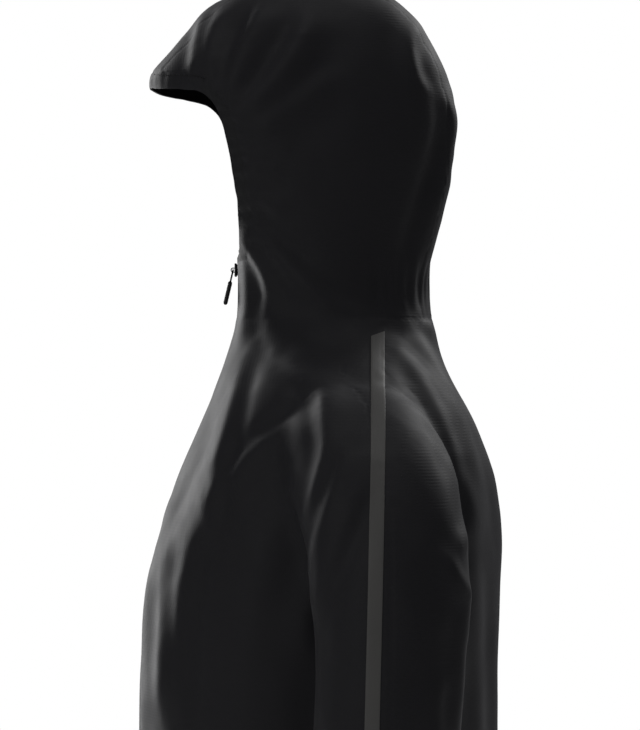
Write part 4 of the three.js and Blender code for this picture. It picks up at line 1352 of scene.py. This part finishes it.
BEZEL = [
    (5.35, -1.3), (8.4, -1.3), (8.9, -1.0), (9.0, -0.5), (8.8, 0.4), (8.0, 1.0), (6.6, 1.3), (5.8, 1.25),
    (5.45, 1.0), (5.35, 0.6), (5.35, -1.3),
]
BUTTON = [(0, -1.5), (4.7, -1.5), (5.0, -1.2), (5.0, 0.8), (4.7, 1.3), (3.8, 1.5), (2.4, 1.25), (0, 1.1)]
for name in ("left", "right"):
    outward = -Vector(JOINTS[f"hem_lock_press_{name}"]["axis"]).normalized()
    bezel = bm_object(f"hem_lock_bezel_{name}", facing_out(lathe(BEZEL), LOCK_PLACE[name], outward))
    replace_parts(dressed(bezel, MOULDED, "moulded_plastic"), f"hem_lock_body_{name}")
    node = f"hem_lock_button_{name}"
    push = bm_object(f"hem_lock_push_{name}", facing_out(lathe(BUTTON), middle_of(node), outward))
    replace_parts(dressed(push, MOULDED, "moulded_plastic", node), node)


# ---- nape ----

NAPE_LOW, NAPE_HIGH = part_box("nape_elastic")


def nape_point(u, v):
    turn = math.radians(28 + u * 124)
    z = NAPE_LOW.z + v * (NAPE_HIGH.z - NAPE_LOW.z)
    return ring_point(turn, z, 0.0030 + 0.0005 * math.sin(u * 150))


sheet_piece("gathered_nape_band", 150, 8, nape_point, 0.0009, BINDING, "lining_fabric", ["nape_elastic"])


# ---- stitching ----

def stitches(name, path, pitch=0.0030, long=0.0021, thick=0.0005):
    """A row of stitches along a path of points that lie on the cloth."""
    bm = bmesh.new()
    carried = 0.0
    for a, b in zip(path, path[1:]):
        run = b - a
        length = run.length
        if length < 1e-6 or length > 0.02:
            continue
        turn = Vector((1, 0, 0)).rotation_difference(run / length)
        at = pitch - carried
        while at < length:
            made = bmesh.ops.create_cube(bm, size=1)["verts"]
            for vert in made:
                x, y, z = vert.co
                vert.co = a + run * (at / length) + turn @ Vector((x * long, y * thick, z * thick))
            at += pitch
        carried = (carried + length) % pitch
    dressed(bm_object(name, bm), CORD, "braided_cord")


def edge_row(side, inset):
    """A line on the hood at a distance inside the edge of the face opening."""
    row = []
    for (y0, z0), (y1, z1) in zip(FACE_LINE, FACE_LINE[1:]):
        length = math.dist((y0, z0), (y1, z1))
        if y0 > BRIM_START or z0 < NECK:
            continue
        y, z = y0 - (z1 - z0) / length * -inset, z0 + (y0 - y1) / length * inset
        row.append(on_surface((side * 0.5, y, z), (-side, 0, 0), 0.0002))
    return row


stitches("hem_top_stitching", [ring_point(round_hem(k / 400), HEM_TOP + 0.0024, -0.0002) for k in range(401)])
for side, name in ((1, "left"), (-1, "right")):
    stitches(f"brim_stitching_{name}", edge_row(side, BRIM_WIDTH - 0.002))
    rows = [cuff_point(side, 2 * math.pi * k / 140, CUFF_LENGTH - 0.004, 0.0002) for k in range(141)]
    stitches(f"cuff_stitching_{name}", rows)


# ---- carried-over nodes keep their shape and get their finish ----

SLOT_OF = {"zip_retainer_box": "moulded_plastic", "hanger_loop": "lining_fabric"}
for node, slot in SLOT_OF.items():
    carried = frame["nodes"][node]
    carried.data.materials.clear()
    carried.data.materials.append(FINISHES[slot])


# ---- camera, light and floor ----

def emitter(name, place, target, size, power):
    data = bpy.data.lights.new(name, "AREA")
    data.shape = "RECTANGLE"
    data.size, data.size_y = size
    data.energy = power
    obj = bpy.data.objects.new(name, data)
    bpy.context.scene.collection.objects.link(obj)
    obj.location = place
    obj.rotation_euler = (Vector(target) - Vector(place)).to_track_quat("-Z", "Y").to_euler()
    return obj


def studio():
    scene = bpy.context.scene
    scene.view_settings.view_transform = "Standard"
    camera = bpy.data.cameras.new("camera")
    camera.lens = 180
    camera.sensor_width = 36
    obj = bpy.data.objects.new("camera", camera)
    scene.collection.objects.link(obj)
    obj.location = (3.0, 0.0, -0.007)
    obj.rotation_euler = (math.pi / 2, 0, math.pi / 2)
    camera.clip_start, camera.clip_end = 0.1, 50
    scene.camera = obj
    world = bpy.data.worlds.new("studio")
    scene.world = world
    world.use_nodes = True
    tree = world.node_tree
    background = tree.nodes["Background"]
    background.inputs["Color"].default_value = (1, 1, 1, 1)
    background.inputs["Strength"].default_value = 0.115
    seen = tree.nodes.new("ShaderNodeBackground")
    seen.inputs["Color"].default_value = (1, 1, 1, 1)
    seen.inputs["Strength"].default_value = 1.0
    path = tree.nodes.new("ShaderNodeLightPath")
    mix = tree.nodes.new("ShaderNodeMixShader")
    tree.links.new(path.outputs["Is Camera Ray"], mix.inputs[0])
    tree.links.new(background.outputs[0], mix.inputs[1])
    tree.links.new(seen.outputs[0], mix.inputs[2])
    tree.links.new(mix.outputs[0], tree.nodes["World Output"].inputs["Surface"])
    emitter("rim_front", (-2.3, -1.7, 0.4), (0, -0.1, 0), (0.7, 2.4), 46)
    emitter("rim_back", (-2.0, 1.5, 1.5), (0, 0.1, 0.2), (0.7, 1.2), 24)
    emitter("top", (0.3, 0.1, 2.2), (0, 0, 0), (1.6, 1.6), 8)
    emitter("fill", (2.2, -1.8, 0.8), (0, 0, 0), (1.8, 1.8), 9)


FLOOR_SIZE = 5.2


def floor():
    bm = grid(8, 8, lambda u, v: Vector(((u - 0.5) * FLOOR_SIZE, (v - 0.5) * FLOOR_SIZE, HEM - 0.004)))
    obj = bm_object("studio_floor", bm)
    material, _, shader = new_material("pale_floor")
    shader.inputs["Base Color"].default_value = (0.8, 0.8, 0.8, 1)
    shader.inputs["Roughness"].default_value = 0.7
    obj.data.materials.append(material)


floor()
studio()
